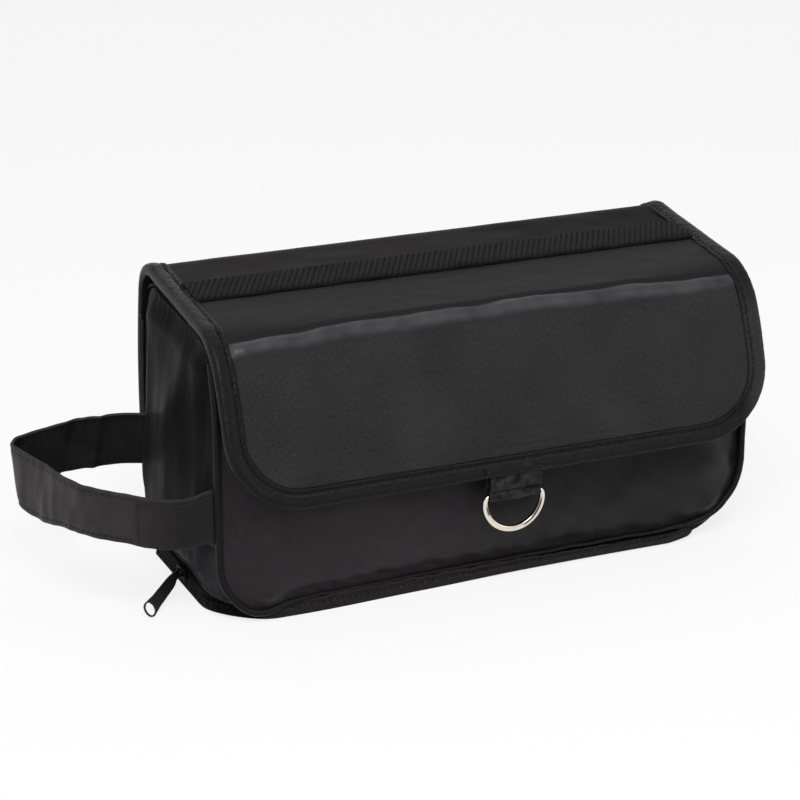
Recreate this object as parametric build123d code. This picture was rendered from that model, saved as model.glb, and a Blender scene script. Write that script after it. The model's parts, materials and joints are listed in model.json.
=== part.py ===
from build123d import *
import os
from functools import lru_cache
from math import cos, radians, sin, sqrt

# A soft toiletry bag that stands on its base. One padded sheet makes the base, the back, the top and
# the flap. The pouch, which is the front panel and its side and top gusset, zips to that sheet along
# the rear, bottom and front edges. Millimetres; the front faces -Y; the origin is on the base's
# underside, midway between the two ends.

# The padded sheet and its layers
SHEET_WIDTH = 298.4
FABRIC = 0.8
FOAM = 2.6
LINING = 0.6
BASE_FRONT = 52.0
BACK = 58.0
HEIGHT = 161.0
BACK_BULGE = 10.0
REAR_BOTTOM_RADIUS = 12.0
TOP_REAR_RADIUS = 15.0
CREASE_DEPTH = 48.0
CREASE_HEIGHT = 149.0
CREASE_RADIUS = 8.0
FLAP_TIP_DEPTH = 78.0
FLAP_TIP_HEIGHT = 58.0
FLAP_BULGE = 5.0
FLAP_EDGE_HEIGHT = 67.0
FLAP_CORNER_RADIUS = 38.0
BASE_CORNER_RADIUS = 22.0

# The folded tape that binds the sheet's edges
BINDING = 0.8
BINDING_WIDTH = 10.0
HEM_FALL = 12.0

# The webbing sewn across the top
WEBBING_WIDTH = 25.0
WEBBING_THICK = 1.4
WEBBING_FRONT = -5.0

# Where the sheet folds: at the webbing's front edge and at the top of the back
FOLD_GAP = 0.3
BACK_FOLD_HEIGHT = 140.0
FOLD_RISE = 0.2

# The pouch
WALL_INSET = 0.7
GUSSET_FABRIC = 0.8
GUSSET_LINING = 0.6
POUCH_FRONT = 50.0
POUCH_HEM = 7.6
POUCH_TOP_CLEAR = 0.6
POUCH_SEAM_DEPTH = 7.0
FRONT_GAP = 3.0
BULGE_DEPTH = 16.0
BULGE_INSET = 46.0
BULGE_RISE = 18.0
BULGE_RADIUS = 24.0
BULGE_MARGIN = 5.0
SHOULDER_DEPTH = 9.6
SHOULDER_INSET = 17.5
SHOULDER_RISE = 9.0
SHOULDER_RADIUS = 18.0
FRONT_CORNER_RADIUS = 12.0
PIPING_RADIUS = 2.2
PIPING_RETURN = 16.0

# Hook and loop patches
PATCH_LENGTH = 50.0
PATCH_HEIGHT = 16.0
PATCH_FOOT = 80.0
PATCH_CENTRE = 75.0
PATCH_THICK = 1.3

# The zip, measured across the chain
CHAIN_BAND = 8.0
COIL_WIDTH = 2.2
COIL_GAP = 1.6
COIL_THICK = 1.6
TAPE_WIDTH = 3.0
TAPE_THICK = 0.6
CHAIN_CORNER = 20.0
CHAIN_SETBACK = 3.8
ZIP_DROP = 33.0
STOP_LENGTH = 3.0

# The slider and its pull
SLIDER_LENGTH = 13.0
SLIDER_HEIGHT = 6.2
SLIDER_PLATE = 1.2
SLIDER_CLEAR = 0.4
SLIDER_REST = 1.0
WEDGE_THICK = 1.0
WEDGE_LENGTH = 3.8
ARCH_LENGTH = 8.0
ARCH_OPEN = 3.0
ARCH_BAR = 1.2
ARCH_CLEAR = 0.8
PIN_RADIUS = 0.6
PULL_LENGTH = 42.0
PULL_WIDTH = 6.6
PULL_THICK = 1.2
PULL_NECK = 4.8
FORK_DEPTH = 6.6
CHEEK_LENGTH = 13.2
PULL_SLOT_LENGTH = 9.0
PULL_SLOT_WIDTH = 3.6
PULL_SLOT_SETBACK = 6.8
PULL_SWING = 49.0
PULL_DROOP = 6.2

# The D-ring and its tab
RING_WIRE = 1.6
RING_WIDTH = 36.0
RING_SHOULDER = 3.0
RING_CORNER = 2.8
RING_RUNNING = 0.08
RING_BAR_HEIGHT = 54.5
RING_OFFSET = 2.0
TAB_WIDTH = 26.0
TAB_THICK = 2.2
TAB_TOP = 84.0

# The strap handle on the left end
STRAP_WIDTH = 30.0
STRAP_THICK = 2.4
STRAP_HEIGHT = 60.0
STRAP_REACH = 17.5
STRAP_ROOT_CLEAR = 0.3
ANCHOR_THICK = 1.0
ANCHOR_LENGTH = 16.0
STRAP_FRONT_DEPTH = -42.0
STRAP_REAR_DEPTH = 44.0
STRAP_POINTS = [(27.5, -41), (59.5, -14), (80.5, 52), (41.5, 60), (16.5, 56)]
STRAP_RADII = [50, 50, 8, 40, 25]

HALF = SHEET_WIDTH / 2
SHEET = FABRIC + FOAM + LINING
WALL_WIDTH = SHEET_WIDTH - 2 * WALL_INSET
WALL = WALL_WIDTH / 2
ZIP_TOP = HEIGHT - ZIP_DROP
TALL = 2 * HEIGHT
WIDE = SHEET_WIDTH
FRONT_MOST = -2 * FLAP_TIP_DEPTH
POUCH_SHELL = GUSSET_FABRIC + GUSSET_LINING
POUCH_TOP = SHEET + BINDING + POUCH_TOP_CLEAR
POUCH_FACE = SHEET + FRONT_GAP
POUCH_SEAM = -POUCH_FRONT + POUCH_SEAM_DEPTH
CHAIN_END = SHEET + CHAIN_BAND
CHAIN_MIDDLE = SHEET + CHAIN_BAND / 2
LOWER_COIL = CHAIN_MIDDLE - COIL_GAP / 2 - COIL_WIDTH
UPPER_COIL = CHAIN_MIDDLE + COIL_GAP / 2
BASE_REAR = BACK - REAR_BOTTOM_RADIUS
CHAIN_FRONT = -POUCH_FRONT + CHAIN_SETBACK
CHAIN_TURN = CHAIN_FRONT + CHAIN_CORNER + TAPE_WIDTH
RING_AXIS_Y = -FLAP_TIP_DEPTH + SHEET + TAB_THICK / 2
COIL_FACE = WALL + COIL_THICK
OUTER_PLATE = COIL_FACE + SLIDER_CLEAR
INNER_PLATE = WALL - TAPE_THICK - SLIDER_CLEAR
PLATE_FACE = OUTER_PLATE + SLIDER_PLATE
PULL_AXIS_X = -(PLATE_FACE + ARCH_OPEN / 2)
STRAP_ROOT = WALL + ANCHOR_THICK + STRAP_ROOT_CLEAR
STRAP_AXIS = WALL + STRAP_REACH
STRAP_ROUTE = [(-WALL - out, y) for out, y in STRAP_POINTS]


def block(x0, x1, y0, y1, z0, z1):
    """A box between two corners."""
    return Pos(x0, y0, z0) * Box(x1 - x0, y1 - y0, z1 - z0, align=(Align.MIN,) * 3)


def window(y0, y1, z0, z1):
    """A rectangle in the side view."""
    return Pos(y0, z0) * Rectangle(y1 - y0, z1 - z0, align=(Align.MIN, Align.MIN))


def across(side, x0, x1):
    """A side-view face carried along the length from x0 to x1."""
    return Pos(x0, 0, 0) * extrude(Plane.YZ * side, x1 - x0)


def upright(front, y0, y1):
    """A front-view face carried along the depth from y0 back to y1."""
    return Pos(0, y1, 0) * extrude(Plane.XZ * front, y1 - y0)


def flat(plan, z0, z1):
    """A plan-view face carried up from z0 to z1."""
    return Pos(0, 0, z0) * extrude(plan, z1 - z0)


def bowed(start, end, bow):
    """The middle point of an arc from start to end that stands out to its right by bow."""
    dy = end[0] - start[0]
    dz = end[1] - start[1]
    length = sqrt(dy * dy + dz * dz)
    return ((start[0] + end[0]) / 2 + bow * dz / length, (start[1] + end[1]) / 2 - bow * dy / length)


@lru_cache(maxsize=None)
def envelope(inset):
    """The closed side outline of the sheet's outer face, moved inwards by inset."""
    rear_foot = (BACK, 0)
    rear_top = (BACK, HEIGHT)
    crease = (-CREASE_DEPTH, CREASE_HEIGHT)
    tip = (-FLAP_TIP_DEPTH, FLAP_TIP_HEIGHT)
    front_foot = (-FLAP_TIP_DEPTH, 0)
    base = Line(front_foot, rear_foot)
    back = ThreePointArc(rear_foot, bowed(rear_foot, rear_top, BACK_BULGE), rear_top)
    top = Line(rear_top, crease)
    front = ThreePointArc(crease, bowed(crease, tip, FLAP_BULGE), tip)
    closing = Line(tip, front_foot)
    face = make_face([base, back, top, front, closing])
    for corner, radius in (
        (rear_foot, REAR_BOTTOM_RADIUS),
        (rear_top, TOP_REAR_RADIUS),
        (crease, CREASE_RADIUS),
    ):
        vertex = face.vertices().sort_by_distance((*corner, 0))[0]
        face = fillet(vertex, radius)
    if inset:
        face = offset(face, -inset)
    return face


def layer(outer, inner):
    """The ring between two insets of the side outline."""
    return envelope(outer) - envelope(inner)


def top_height(depth):
    """The height of the sheet's outer face at a depth on the top."""
    slope = (HEIGHT - CREASE_HEIGHT) / (BACK + CREASE_DEPTH)
    return CREASE_HEIGHT + slope * (depth + CREASE_DEPTH)


def back_depth(height):
    """The depth of the sheet's outer face at a height on the back."""
    half = HEIGHT / 2
    radius = (half * half + BACK_BULGE * BACK_BULGE) / (2 * BACK_BULGE)
    return BACK + BACK_BULGE - radius + sqrt(radius * radius - (height - half) ** 2)


FLAP_HINGE = (WEBBING_FRONT, top_height(WEBBING_FRONT) + WEBBING_THICK + FOLD_RISE)
BACK_HINGE = (back_depth(BACK_FOLD_HEIGHT) + BINDING + FOLD_RISE, BACK_FOLD_HEIGHT)


def flap_view():
    return window(FRONT_MOST, WEBBING_FRONT - FOLD_GAP, FLAP_EDGE_HEIGHT - BINDING_WIDTH, TALL)


def top_view():
    return window(WEBBING_FRONT, TALL, BACK_FOLD_HEIGHT + FOLD_GAP, TALL)


def back_view():
    return window(BASE_REAR, TALL, 0, BACK_FOLD_HEIGHT - FOLD_GAP)


def flap_outline(inset):
    """The flap seen from the front: square at the fold and round at its two lower corners."""
    wide = SHEET_WIDTH - 2 * inset
    foot = FLAP_EDGE_HEIGHT + inset
    face = Pos(0, foot) * Rectangle(wide, TALL - foot, align=(Align.CENTER, Align.MIN))
    lower = face.vertices().sort_by(Axis.Y)[:2]
    return fillet(lower, FLAP_CORNER_RADIUS - inset)


def flap_layer(outer, inner):
    side = layer(outer, inner) & flap_view()
    return across(side, -WIDE, WIDE) & upright(flap_outline(0), FRONT_MOST, BACK)


def sheet_layer(outer, inner, view):
    return across(layer(outer, inner) & view, -HALF, HALF)


def base_outline(grow=0.0):
    """The base seen from above, with its two front corners round."""
    face = Pos(0, -BASE_FRONT - grow) * Rectangle(
        SHEET_WIDTH + 2 * grow, BASE_FRONT + grow + BASE_REAR, align=(Align.CENTER, Align.MIN)
    )
    front = face.vertices().sort_by(Axis.Y)[:2]
    return fillet(front, BASE_CORNER_RADIUS + grow)


def flap_binding():
    """The tape folded round the flap's free edge, with a leg on each face."""
    side = layer(-BINDING, SHEET + BINDING) & flap_view()
    folded = across(side, -WIDE, WIDE) & upright(flap_outline(-BINDING), FRONT_MOST, BACK)
    middle = upright(flap_outline(BINDING_WIDTH), FRONT_MOST, BACK)
    return folded - flap_layer(0, SHEET) - middle


def edge_binding(view):
    """The tape on the two side edges of the top or the back: a leg outside and a lip at the edge."""
    leg = layer(-BINDING, 0) & view
    lip = layer(-BINDING, SHEET) & view
    tapes = []
    for side in (-1, 1):
        edge = side * HALF
        inner = edge - side * (BINDING_WIDTH - BINDING)
        outer = edge + side * BINDING
        face = across(leg, min(edge, inner), max(edge, inner))
        tapes.append(face + across(lip, min(edge, outer), max(edge, outer)))
    return tapes


def base_binding():
    """The tape round the base: low along the sides, and up to the pouch's hem in front."""
    ring = flat(base_outline(BINDING) - base_outline(), 0, POUCH_HEM - BINDING)
    low = block(-WIDE, WIDE, -BASE_FRONT + HEM_FALL, TALL, SHEET, HEIGHT)
    return ring & block(-WIDE, WIDE, -WIDE, BASE_REAR, 0, HEIGHT) - low


def webbing():
    slab = window(WEBBING_FRONT, WEBBING_FRONT + WEBBING_WIDTH, CREASE_HEIGHT - SHEET, TALL)
    inner = HALF - BINDING_WIDTH + BINDING
    return across(layer(-WEBBING_THICK, 0) & slab, -inner, inner)


def pouch_side(inset):
    """The pouch's side outline: close under the top, a patch's depth behind the flap, flat in front."""
    behind = envelope(POUCH_TOP + inset) & window(-CREASE_DEPTH / 2, TALL, -HEIGHT, TALL)
    ahead = envelope(POUCH_FACE + inset) & window(-POUCH_FRONT + inset, -CREASE_DEPTH / 2, -HEIGHT, TALL)
    return behind + ahead


def front_bulge(inset):
    """The stuffed front of the pouch, which swells out inside a flat margin."""
    stages = (
        (-GUSSET_FABRIC, BULGE_MARGIN, BULGE_MARGIN, FRONT_CORNER_RADIUS),
        (SHOULDER_DEPTH, SHOULDER_INSET, SHOULDER_RISE, SHOULDER_RADIUS),
        (BULGE_DEPTH, BULGE_INSET, BULGE_RISE, BULGE_RADIUS),
    )
    top = CREASE_HEIGHT - POUCH_TOP
    faces = []
    for forward, narrow, rise, radius in stages:
        wide = WALL_WIDTH - 2 * (narrow + inset)
        tall = top - POUCH_HEM - 2 * (rise + inset)
        place = Plane(
            origin=(0, -POUCH_FRONT - forward + inset, (top + POUCH_HEM) / 2),
            x_dir=(1, 0, 0),
            z_dir=(0, -1, 0),
        )
        faces.append(place * RectangleRounded(wide, tall, radius))
    return loft(faces, ruled=True) & across(envelope(POUCH_FACE + inset), -WIDE, WIDE)


def pouch_box(inset):
    """The pouch as a filled shape: its side outline across the width, with the bulge in front."""
    half = WALL - inset
    body = across(pouch_side(inset), -half, half)
    foot = POUCH_HEM if inset == 0 else -HEIGHT
    corner = FRONT_CORNER_RADIUS - inset
    frame = Pos(0, foot) * Rectangle(2 * half, TALL, align=(Align.CENTER, Align.MIN))
    if inset == 0:
        frame = fillet(frame.vertices().sort_by(Axis.Y)[:2], corner)
    return (body & upright(frame, -POUCH_FRONT - 1, TALL)) + front_bulge(inset)


def front_shell(outer, inner):
    """A skin of the pouch's front, open behind, with a short return at the seam."""
    skin = pouch_box(outer) - pouch_box(inner)
    skin = skin & block(-WIDE, WIDE, FRONT_MOST, POUCH_SEAM, POUCH_HEM, TALL)
    return skin.solids().sort_by(SortBy.VOLUME)[-1]


def wall_side():
    """The side gusset's outline: down to the zip behind and below, and up under the top panel."""
    low = envelope(CHAIN_END) & window(POUCH_SEAM, TALL, 0, TALL)
    high = envelope(POUCH_TOP) & window(POUCH_SEAM, TALL, ZIP_TOP + STOP_LENGTH, TALL)
    ahead = envelope(POUCH_FACE) & window(FRONT_MOST, -CREASE_DEPTH / 2, 0, TALL)
    behind = window(-CREASE_DEPTH / 2, TALL, 0, TALL)
    return (low + high) & (ahead + behind)


def gusset_wall(side, outer, inner):
    x0 = side * (WALL - outer)
    x1 = side * (WALL - inner)
    return across(wall_side() - layer(POUCH_TOP, POUCH_TOP + POUCH_SHELL), min(x0, x1), max(x0, x1))


def gusset_top(outer, inner):
    skin = layer(POUCH_TOP + outer, POUCH_TOP + inner)
    skin = skin & window(POUCH_SEAM, BACK - CHAIN_BAND, HEIGHT / 2, TALL)
    skin = skin & (envelope(POUCH_FACE) + window(-CREASE_DEPTH / 2, TALL, 0, TALL))
    return across(skin, -WALL, WALL)


def piping():
    """The cord round the pouch's front: down each side, round the lower corner and a little inwards."""
    y = -POUCH_FRONT - PIPING_RADIUS
    foot = POUCH_HEM + PIPING_RADIUS
    top = FLAP_EDGE_HEIGHT + BINDING_WIDTH
    cords = []
    for side in (-1, 1):
        start = Vector(side * WALL, y, top)
        corner = Vector(side * WALL, y, foot)
        end = Vector(side * (WALL - FRONT_CORNER_RADIUS - PIPING_RETURN), y, foot)
        path = FilletPolyline(start, corner, end, radius=FRONT_CORNER_RADIUS)
        cords.append(sweep(Plane(origin=start, z_dir=(0, 0, -1)) * Circle(PIPING_RADIUS), path=path))
    return cords


def chain_plan(inset, thick):
    """The zip's strip seen from above, from one side run round the front to the other."""
    half = WALL - inset
    front = CHAIN_FRONT + inset
    radius = CHAIN_CORNER - inset
    outer = chain_face(half, front, radius)
    inner = chain_face(half - thick, front + thick, radius - thick)
    return outer - inner


def chain_face(half, front, radius):
    face = Pos(0, front) * Rectangle(2 * half, CHAIN_TURN - front, align=(Align.CENTER, Align.MIN))
    return fillet(face.vertices().sort_by(Axis.Y)[:2], radius)


def chain_strip(near, far, inset, thick):
    """A zip tape or coil: up the rear edges, along the sides and round the front, in one piece."""
    side = layer(near, far) & window(CHAIN_TURN, TALL, 0, ZIP_TOP)
    side = side - window(-TALL, BACK / 2, CHAIN_END + SHEET, TALL)
    outer = WALL - inset
    left = across(side, -outer, -outer + thick)
    right = across(side, outer - thick, outer)
    return left + right + flat(chain_plan(inset, thick), near, far)


def zip_stops():
    """The two metal stops that close off the chain's upper ends."""
    side = layer(SHEET, CHAIN_MIDDLE - COIL_GAP / 2) & window(BACK / 2, TALL, ZIP_TOP, ZIP_TOP + STOP_LENGTH)
    reach = WALL + COIL_THICK
    inner = WALL - TAPE_THICK
    return [across(side, -reach, -inner), across(side, inner, reach)]


def patches(near, far):
    """Two hook or loop patches that follow the flap's line."""
    side = layer(near, far) & window(FRONT_MOST, -CREASE_DEPTH / 2, PATCH_FOOT, PATCH_FOOT + PATCH_HEIGHT)
    half = PATCH_LENGTH / 2
    return [across(side, centre - half, centre + half) for centre in (-PATCH_CENTRE, PATCH_CENTRE)]


def ring_tab():
    """The tab sewn inside the flap, with a round fold at its foot that holds the ring's bar."""
    eye = RING_WIRE + RING_RUNNING + TAB_THICK / 2
    strap = layer(SHEET, SHEET + TAB_THICK) & window(FRONT_MOST, -CREASE_DEPTH / 2, RING_BAR_HEIGHT, TAB_TOP)
    fold = Pos(RING_AXIS_Y, RING_BAR_HEIGHT) * Circle(eye)
    hole = Pos(RING_AXIS_Y, RING_BAR_HEIGHT) * Circle(RING_WIRE + RING_RUNNING)
    half = TAB_WIDTH / 2
    tab = across(strap + fold - hole, RING_OFFSET - half, RING_OFFSET + half)
    return tab - flap_binding()


def d_ring():
    """A bent wire: a straight bar, two short shoulders and a half circle below."""
    reach = RING_WIDTH / 2 - RING_WIRE
    low = RING_BAR_HEIGHT - RING_SHOULDER
    left = RING_OFFSET - reach
    right = RING_OFFSET + reach
    bar = FilletPolyline(
        (left, RING_AXIS_Y, low),
        (left, RING_AXIS_Y, RING_BAR_HEIGHT),
        (right, RING_AXIS_Y, RING_BAR_HEIGHT),
        (right, RING_AXIS_Y, low),
        radius=RING_CORNER,
    )
    bow = ThreePointArc(
        (right, RING_AXIS_Y, low), (RING_OFFSET, RING_AXIS_Y, low - reach), (left, RING_AXIS_Y, low)
    )
    section = Plane(origin=(left, RING_AXIS_Y, low), z_dir=(0, 0, 1)) * Circle(RING_WIRE)
    return sweep(section, path=bar) + sweep(section, path=Wire([bow]))


def strap():
    """The looped strap, standing on edge. Its roots are round about the line that it swings on."""
    front = (-STRAP_ROOT, STRAP_FRONT_DEPTH)
    rear = (-STRAP_ROOT, STRAP_REAR_DEPTH)
    route = FilletPolyline(front, *STRAP_ROUTE, rear, radius=STRAP_RADII)
    band = flat(trace(route, STRAP_THICK), STRAP_HEIGHT - STRAP_WIDTH / 2, STRAP_HEIGHT + STRAP_WIDTH / 2)
    axis = Plane(origin=(-STRAP_AXIS, 0, STRAP_HEIGHT), z_dir=(0, 1, 0))
    root = extrude(axis * Circle(STRAP_AXIS - STRAP_ROOT), WIDE, both=True)
    free = block(-WIDE, -STRAP_AXIS, -WIDE, WIDE, 0, HEIGHT)
    return band & (root + free)


def strap_anchors():
    """The sewn-down ends of the strap on the side gusset."""
    low = STRAP_HEIGHT - STRAP_WIDTH / 2
    high = STRAP_HEIGHT + STRAP_WIDTH / 2
    face = -WALL
    front = block(face - ANCHOR_THICK, face, POUCH_SEAM, POUCH_SEAM + ANCHOR_LENGTH, low, high)
    rear_edge = back_depth(low) - CHAIN_END
    rear = block(face - ANCHOR_THICK, face, rear_edge - ANCHOR_LENGTH, rear_edge, low, high)
    return [front, rear]


def slider_plate(x0):
    outline = Pos(SLIDER_REST, CHAIN_MIDDLE) * RectangleRounded(SLIDER_LENGTH, SLIDER_HEIGHT, SLIDER_HEIGHT / 4)
    return across(outline, x0, x0 + SLIDER_PLATE)


def zip_slider():
    """Two plates joined by a wedge that runs between the coils, and an arch for the pull."""
    outer = slider_plate(-PLATE_FACE)
    inner = slider_plate(-INNER_PLATE)
    nose = SLIDER_REST - SLIDER_LENGTH / 2 + SLIDER_PLATE
    low = CHAIN_MIDDLE - WEDGE_THICK / 2
    wedge = block(-OUTER_PLATE, -INNER_PLATE, nose, nose + WEDGE_LENGTH, low, low + WEDGE_THICK)
    half = ARCH_LENGTH / 2
    gap = half - ARCH_BAR
    bow = window(SLIDER_REST - half, SLIDER_REST + half, CHAIN_MIDDLE - ARCH_BAR, CHAIN_MIDDLE + ARCH_BAR)
    opening = window(SLIDER_REST - gap, SLIDER_REST + gap, 0, HEIGHT)
    arch = across(bow, -PLATE_FACE - ARCH_OPEN - ARCH_BAR, -PLATE_FACE)
    arch = arch - across(opening, -PLATE_FACE - ARCH_OPEN, -PLATE_FACE)
    return outer + inner + wedge + arch


def pull_frame():
    """The pull's own frame: X along the pull, Z along the line that it swings on."""
    swing = radians(PULL_SWING)
    droop = radians(PULL_DROOP)
    along = Vector(-cos(swing) * cos(droop), -sin(swing) * cos(droop), -sin(droop))
    line = Vector(-cos(swing) * sin(droop), -sin(swing) * sin(droop), cos(droop))
    origin = Vector(PULL_AXIS_X, SLIDER_REST, CHAIN_MIDDLE)
    return Plane(origin=origin, x_dir=along, z_dir=line)


def zip_pull():
    """A flat pull: a long blade with a slot near its tip, and a fork with a pin at the arch."""
    middle = Pos((PULL_LENGTH + PULL_NECK) / 2, 0)
    blade = middle * RectangleRounded(PULL_LENGTH - PULL_NECK, PULL_WIDTH, PULL_WIDTH / 2 - PULL_THICK / 4)
    slot = Pos(PULL_LENGTH - PULL_SLOT_SETBACK, 0) * SlotOverall(PULL_SLOT_LENGTH, PULL_SLOT_WIDTH)
    half = PULL_THICK / 2
    plate = extrude(Plane.XZ * (blade - slot), half, both=True)
    inner = ARCH_BAR + ARCH_CLEAR
    outer = inner + ARCH_BAR
    fork = block(-half, FORK_DEPTH, -PULL_WIDTH, PULL_WIDTH, -inner, inner)
    upper = block(-half, CHEEK_LENGTH, -half, half, inner, outer)
    lower = block(-half, CHEEK_LENGTH, -half, half, -outer, -inner)
    pin = Cylinder(PIN_RADIUS, 2 * inner + ARCH_BAR)
    return pull_frame().location * (plate - fork + upper + lower + pin)


def write(name, shape):
    solids = []
    for piece in shape if isinstance(shape, list) else [shape]:
        solids.extend(piece.solids())
    export_step(solids[0] if len(solids) == 1 else Compound(children=solids), f"parts/{name}.step")


def main():
    os.makedirs("parts", exist_ok=True)
    inner_foam = FABRIC + FOAM

    # The base and the back, which stand still
    write("base_panel", flat(base_outline(), 0, FABRIC))
    write("base_board", flat(base_outline(), FABRIC, inner_foam))
    write("base_lining", flat(base_outline(), inner_foam, SHEET))
    write("base_binding", base_binding())
    write("back_panel", sheet_layer(0, FABRIC, back_view()))
    write("back_foam", sheet_layer(FABRIC, inner_foam, back_view()))
    write("back_lining", sheet_layer(inner_foam, SHEET, back_view()))
    write("back_binding", edge_binding(back_view()))
    write("zip_tape_lower", chain_strip(SHEET, SHEET + TAPE_WIDTH, 0, TAPE_THICK))
    write("zip_coil_lower", chain_strip(LOWER_COIL, LOWER_COIL + COIL_WIDTH, -COIL_THICK, COIL_THICK))
    write("zip_stops", zip_stops())

    # The pouch and the part of the sheet that is sewn to its top
    write("front_panel", front_shell(0, GUSSET_FABRIC))
    write("front_lining", front_shell(GUSSET_FABRIC, POUCH_SHELL))
    write("gusset_left", gusset_wall(-1, 0, GUSSET_FABRIC))
    write("gusset_right", gusset_wall(1, 0, GUSSET_FABRIC))
    write("gusset_top", gusset_top(0, GUSSET_FABRIC))
    linings = [gusset_wall(side, GUSSET_FABRIC, POUCH_SHELL) for side in (-1, 1)]
    write("gusset_lining", linings)
    write("front_piping", piping())
    write("top_panel", sheet_layer(0, FABRIC, top_view()))
    write("top_foam", sheet_layer(FABRIC, inner_foam, top_view()))
    write("top_lining", sheet_layer(inner_foam, SHEET, top_view()))
    write("top_binding", edge_binding(top_view()))
    write("webbing", webbing())
    write("loop_patches", patches(POUCH_FACE - PATCH_THICK, POUCH_FACE))
    write("strap_anchors", strap_anchors())
    write("zip_tape_upper", chain_strip(CHAIN_END - TAPE_WIDTH, CHAIN_END, 0, TAPE_THICK))
    write("zip_coil_upper", chain_strip(UPPER_COIL, UPPER_COIL + COIL_WIDTH, -COIL_THICK, COIL_THICK))

    # The flap
    write("flap_panel", flap_layer(0, FABRIC))
    write("flap_foam", flap_layer(FABRIC, inner_foam))
    write("flap_lining", flap_layer(inner_foam, SHEET))
    write("flap_binding", flap_binding())
    write("hook_patches", patches(SHEET, SHEET + PATCH_THICK))
    write("ring_tab", ring_tab())
    write("d_ring", d_ring())

    # The strap, the slider and its pull
    write("strap_handle", strap())
    write("zip_slider", zip_slider())
    write("zip_pull", zip_pull())

    line = pull_frame()
    print("back hinge", BACK_HINGE, "flap hinge", FLAP_HINGE, "ring axis", RING_AXIS_Y, RING_BAR_HEIGHT)
    print("strap axis", -STRAP_AXIS, STRAP_HEIGHT, "pull axis", tuple(line.origin), tuple(line.z_dir))


main()
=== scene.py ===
# A black toiletry bag: a padded sheet that makes the base, back, top and flap, with a stuffed pouch
# that zips to it. Lengths are in millimetres and become metres where a mesh is made.

import json
from math import cos, exp, hypot, pi, radians, sin, sqrt

import bpy
from mathutils import Matrix, Vector, noise


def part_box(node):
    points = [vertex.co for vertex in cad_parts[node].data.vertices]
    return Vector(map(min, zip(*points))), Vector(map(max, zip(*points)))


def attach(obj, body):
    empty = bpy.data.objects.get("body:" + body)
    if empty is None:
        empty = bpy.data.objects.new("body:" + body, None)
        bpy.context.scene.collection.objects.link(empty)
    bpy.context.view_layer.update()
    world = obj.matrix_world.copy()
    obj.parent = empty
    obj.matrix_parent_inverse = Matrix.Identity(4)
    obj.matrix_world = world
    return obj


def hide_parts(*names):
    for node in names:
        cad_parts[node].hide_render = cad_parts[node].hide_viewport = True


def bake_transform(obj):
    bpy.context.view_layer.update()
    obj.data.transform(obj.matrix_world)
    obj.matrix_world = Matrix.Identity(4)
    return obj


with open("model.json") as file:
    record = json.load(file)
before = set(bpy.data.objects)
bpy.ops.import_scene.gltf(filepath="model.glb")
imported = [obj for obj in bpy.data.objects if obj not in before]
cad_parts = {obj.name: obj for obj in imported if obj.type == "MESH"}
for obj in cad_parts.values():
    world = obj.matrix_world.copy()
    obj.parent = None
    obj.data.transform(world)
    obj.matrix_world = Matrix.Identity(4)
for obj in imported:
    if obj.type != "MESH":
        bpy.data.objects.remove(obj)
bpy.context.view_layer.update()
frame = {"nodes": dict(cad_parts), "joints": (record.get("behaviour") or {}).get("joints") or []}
bpy.ops.object.select_all(action="DESELECT")

MM = 0.001

# The padded sheet, seen from the side
HALF = 149.2
SHEET = 4.0
BASE_FRONT = -52.0
BACK = 58.0
HEIGHT = 161.0
BACK_BULGE = 10.0
REAR_FOOT_RADIUS = 12.0
TOP_REAR_RADIUS = 15.0
CREASE_RADIUS = 8.0
CREASE_END_RADIUS = 27.0
CREASE = (-48.0, 149.0)
FLAP_TIP = (-78.0, 58.0)
FLAP_BULGE = 5.0
FLAP_EDGE = 67.0
FLAP_CORNER = 38.0
BASE_CORNER = {-1: 26.0, 1: 36.0}
FOLD_HEIGHT = 140.0
WEBBING_REAR = 20.0
WEBBING_FRONT = -5.0
SPLIT = 4.0
CREASE_EVEN = 70.0
CREASE_FADE = 75.0
BASE_LIFT = 0.9
SHELL = SHEET - 0.8
INSIDE = (0, 0, 80)

# Bindings, webbing and stitches
TAPE = 0.8
TAPE_WIDTH = 10.0
TAPE_CLOTH = 0.5
LIP = 5.6
TAPE_ROUND = 2 * TAPE_WIDTH + LIP
RIB_PITCH = 3.2
STITCH = 2.5
STITCH_PITCH = 3.4
STITCH_INSET = 2.6
# Where the hem takes its darker copy, painted shade: behind the first and left of the second
SHADED_HEM_REAR = -40
SHADED_HEM_LEFT = -128

# The pouch
WALL = 148.5
POUCH_FRONT = -50.0
POUCH_HEM = 7.6
POUCH_INSET = 7.0
PANEL_CORNER = {-1: 21.0, 1: 33.0}
CORNER_LIFT = {-1: 4.0, 1: 13.0}
LIFT_REACH = {-1: 29.0, 1: 45.0}
BULGE = 16.0
CORD = 1.9
WALL_CLOTH = 1.2
TURNED_BACK = 22.0
PIPING_TOP = 136.0
PIPING_BEND = 112.0
PIPING_BEND_RADIUS = 60.0
COVER_FRONT = -30.0
COVER_REAR = 48.0
COVER_DROP = 36.0
GUSSET_REACH = 104.0
GUSSET_BELOW_TOP = 6.5
GUSSET_BEFORE_BACK = 12.0
GUSSET_FOOT = 12.0
GUSSET_FOOT_CORNER = 7.0
GUSSET_CORNER = 20.0
GUSSET_SEAM = 3.0 / 122

# The zip
CHAIN = 8.0
CHAIN_FRONT = -46.2
CHAIN_CORNER = 22.0
CHAIN_BEND = 5.0
ZIP_TOP = 128.0
ZIP_TAPE = (0.9, 4.4)
TOOTH_PITCH = 1.7
TOOTH_WIDTH = 1.15
TOOTH_REACH = 3.6
TOOTH_HEIGHT = 1.5
SLIDER_ARCH = 4.2
SLIDER_PLATE = 1.2
ARCH_HALF = 3.4

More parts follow.
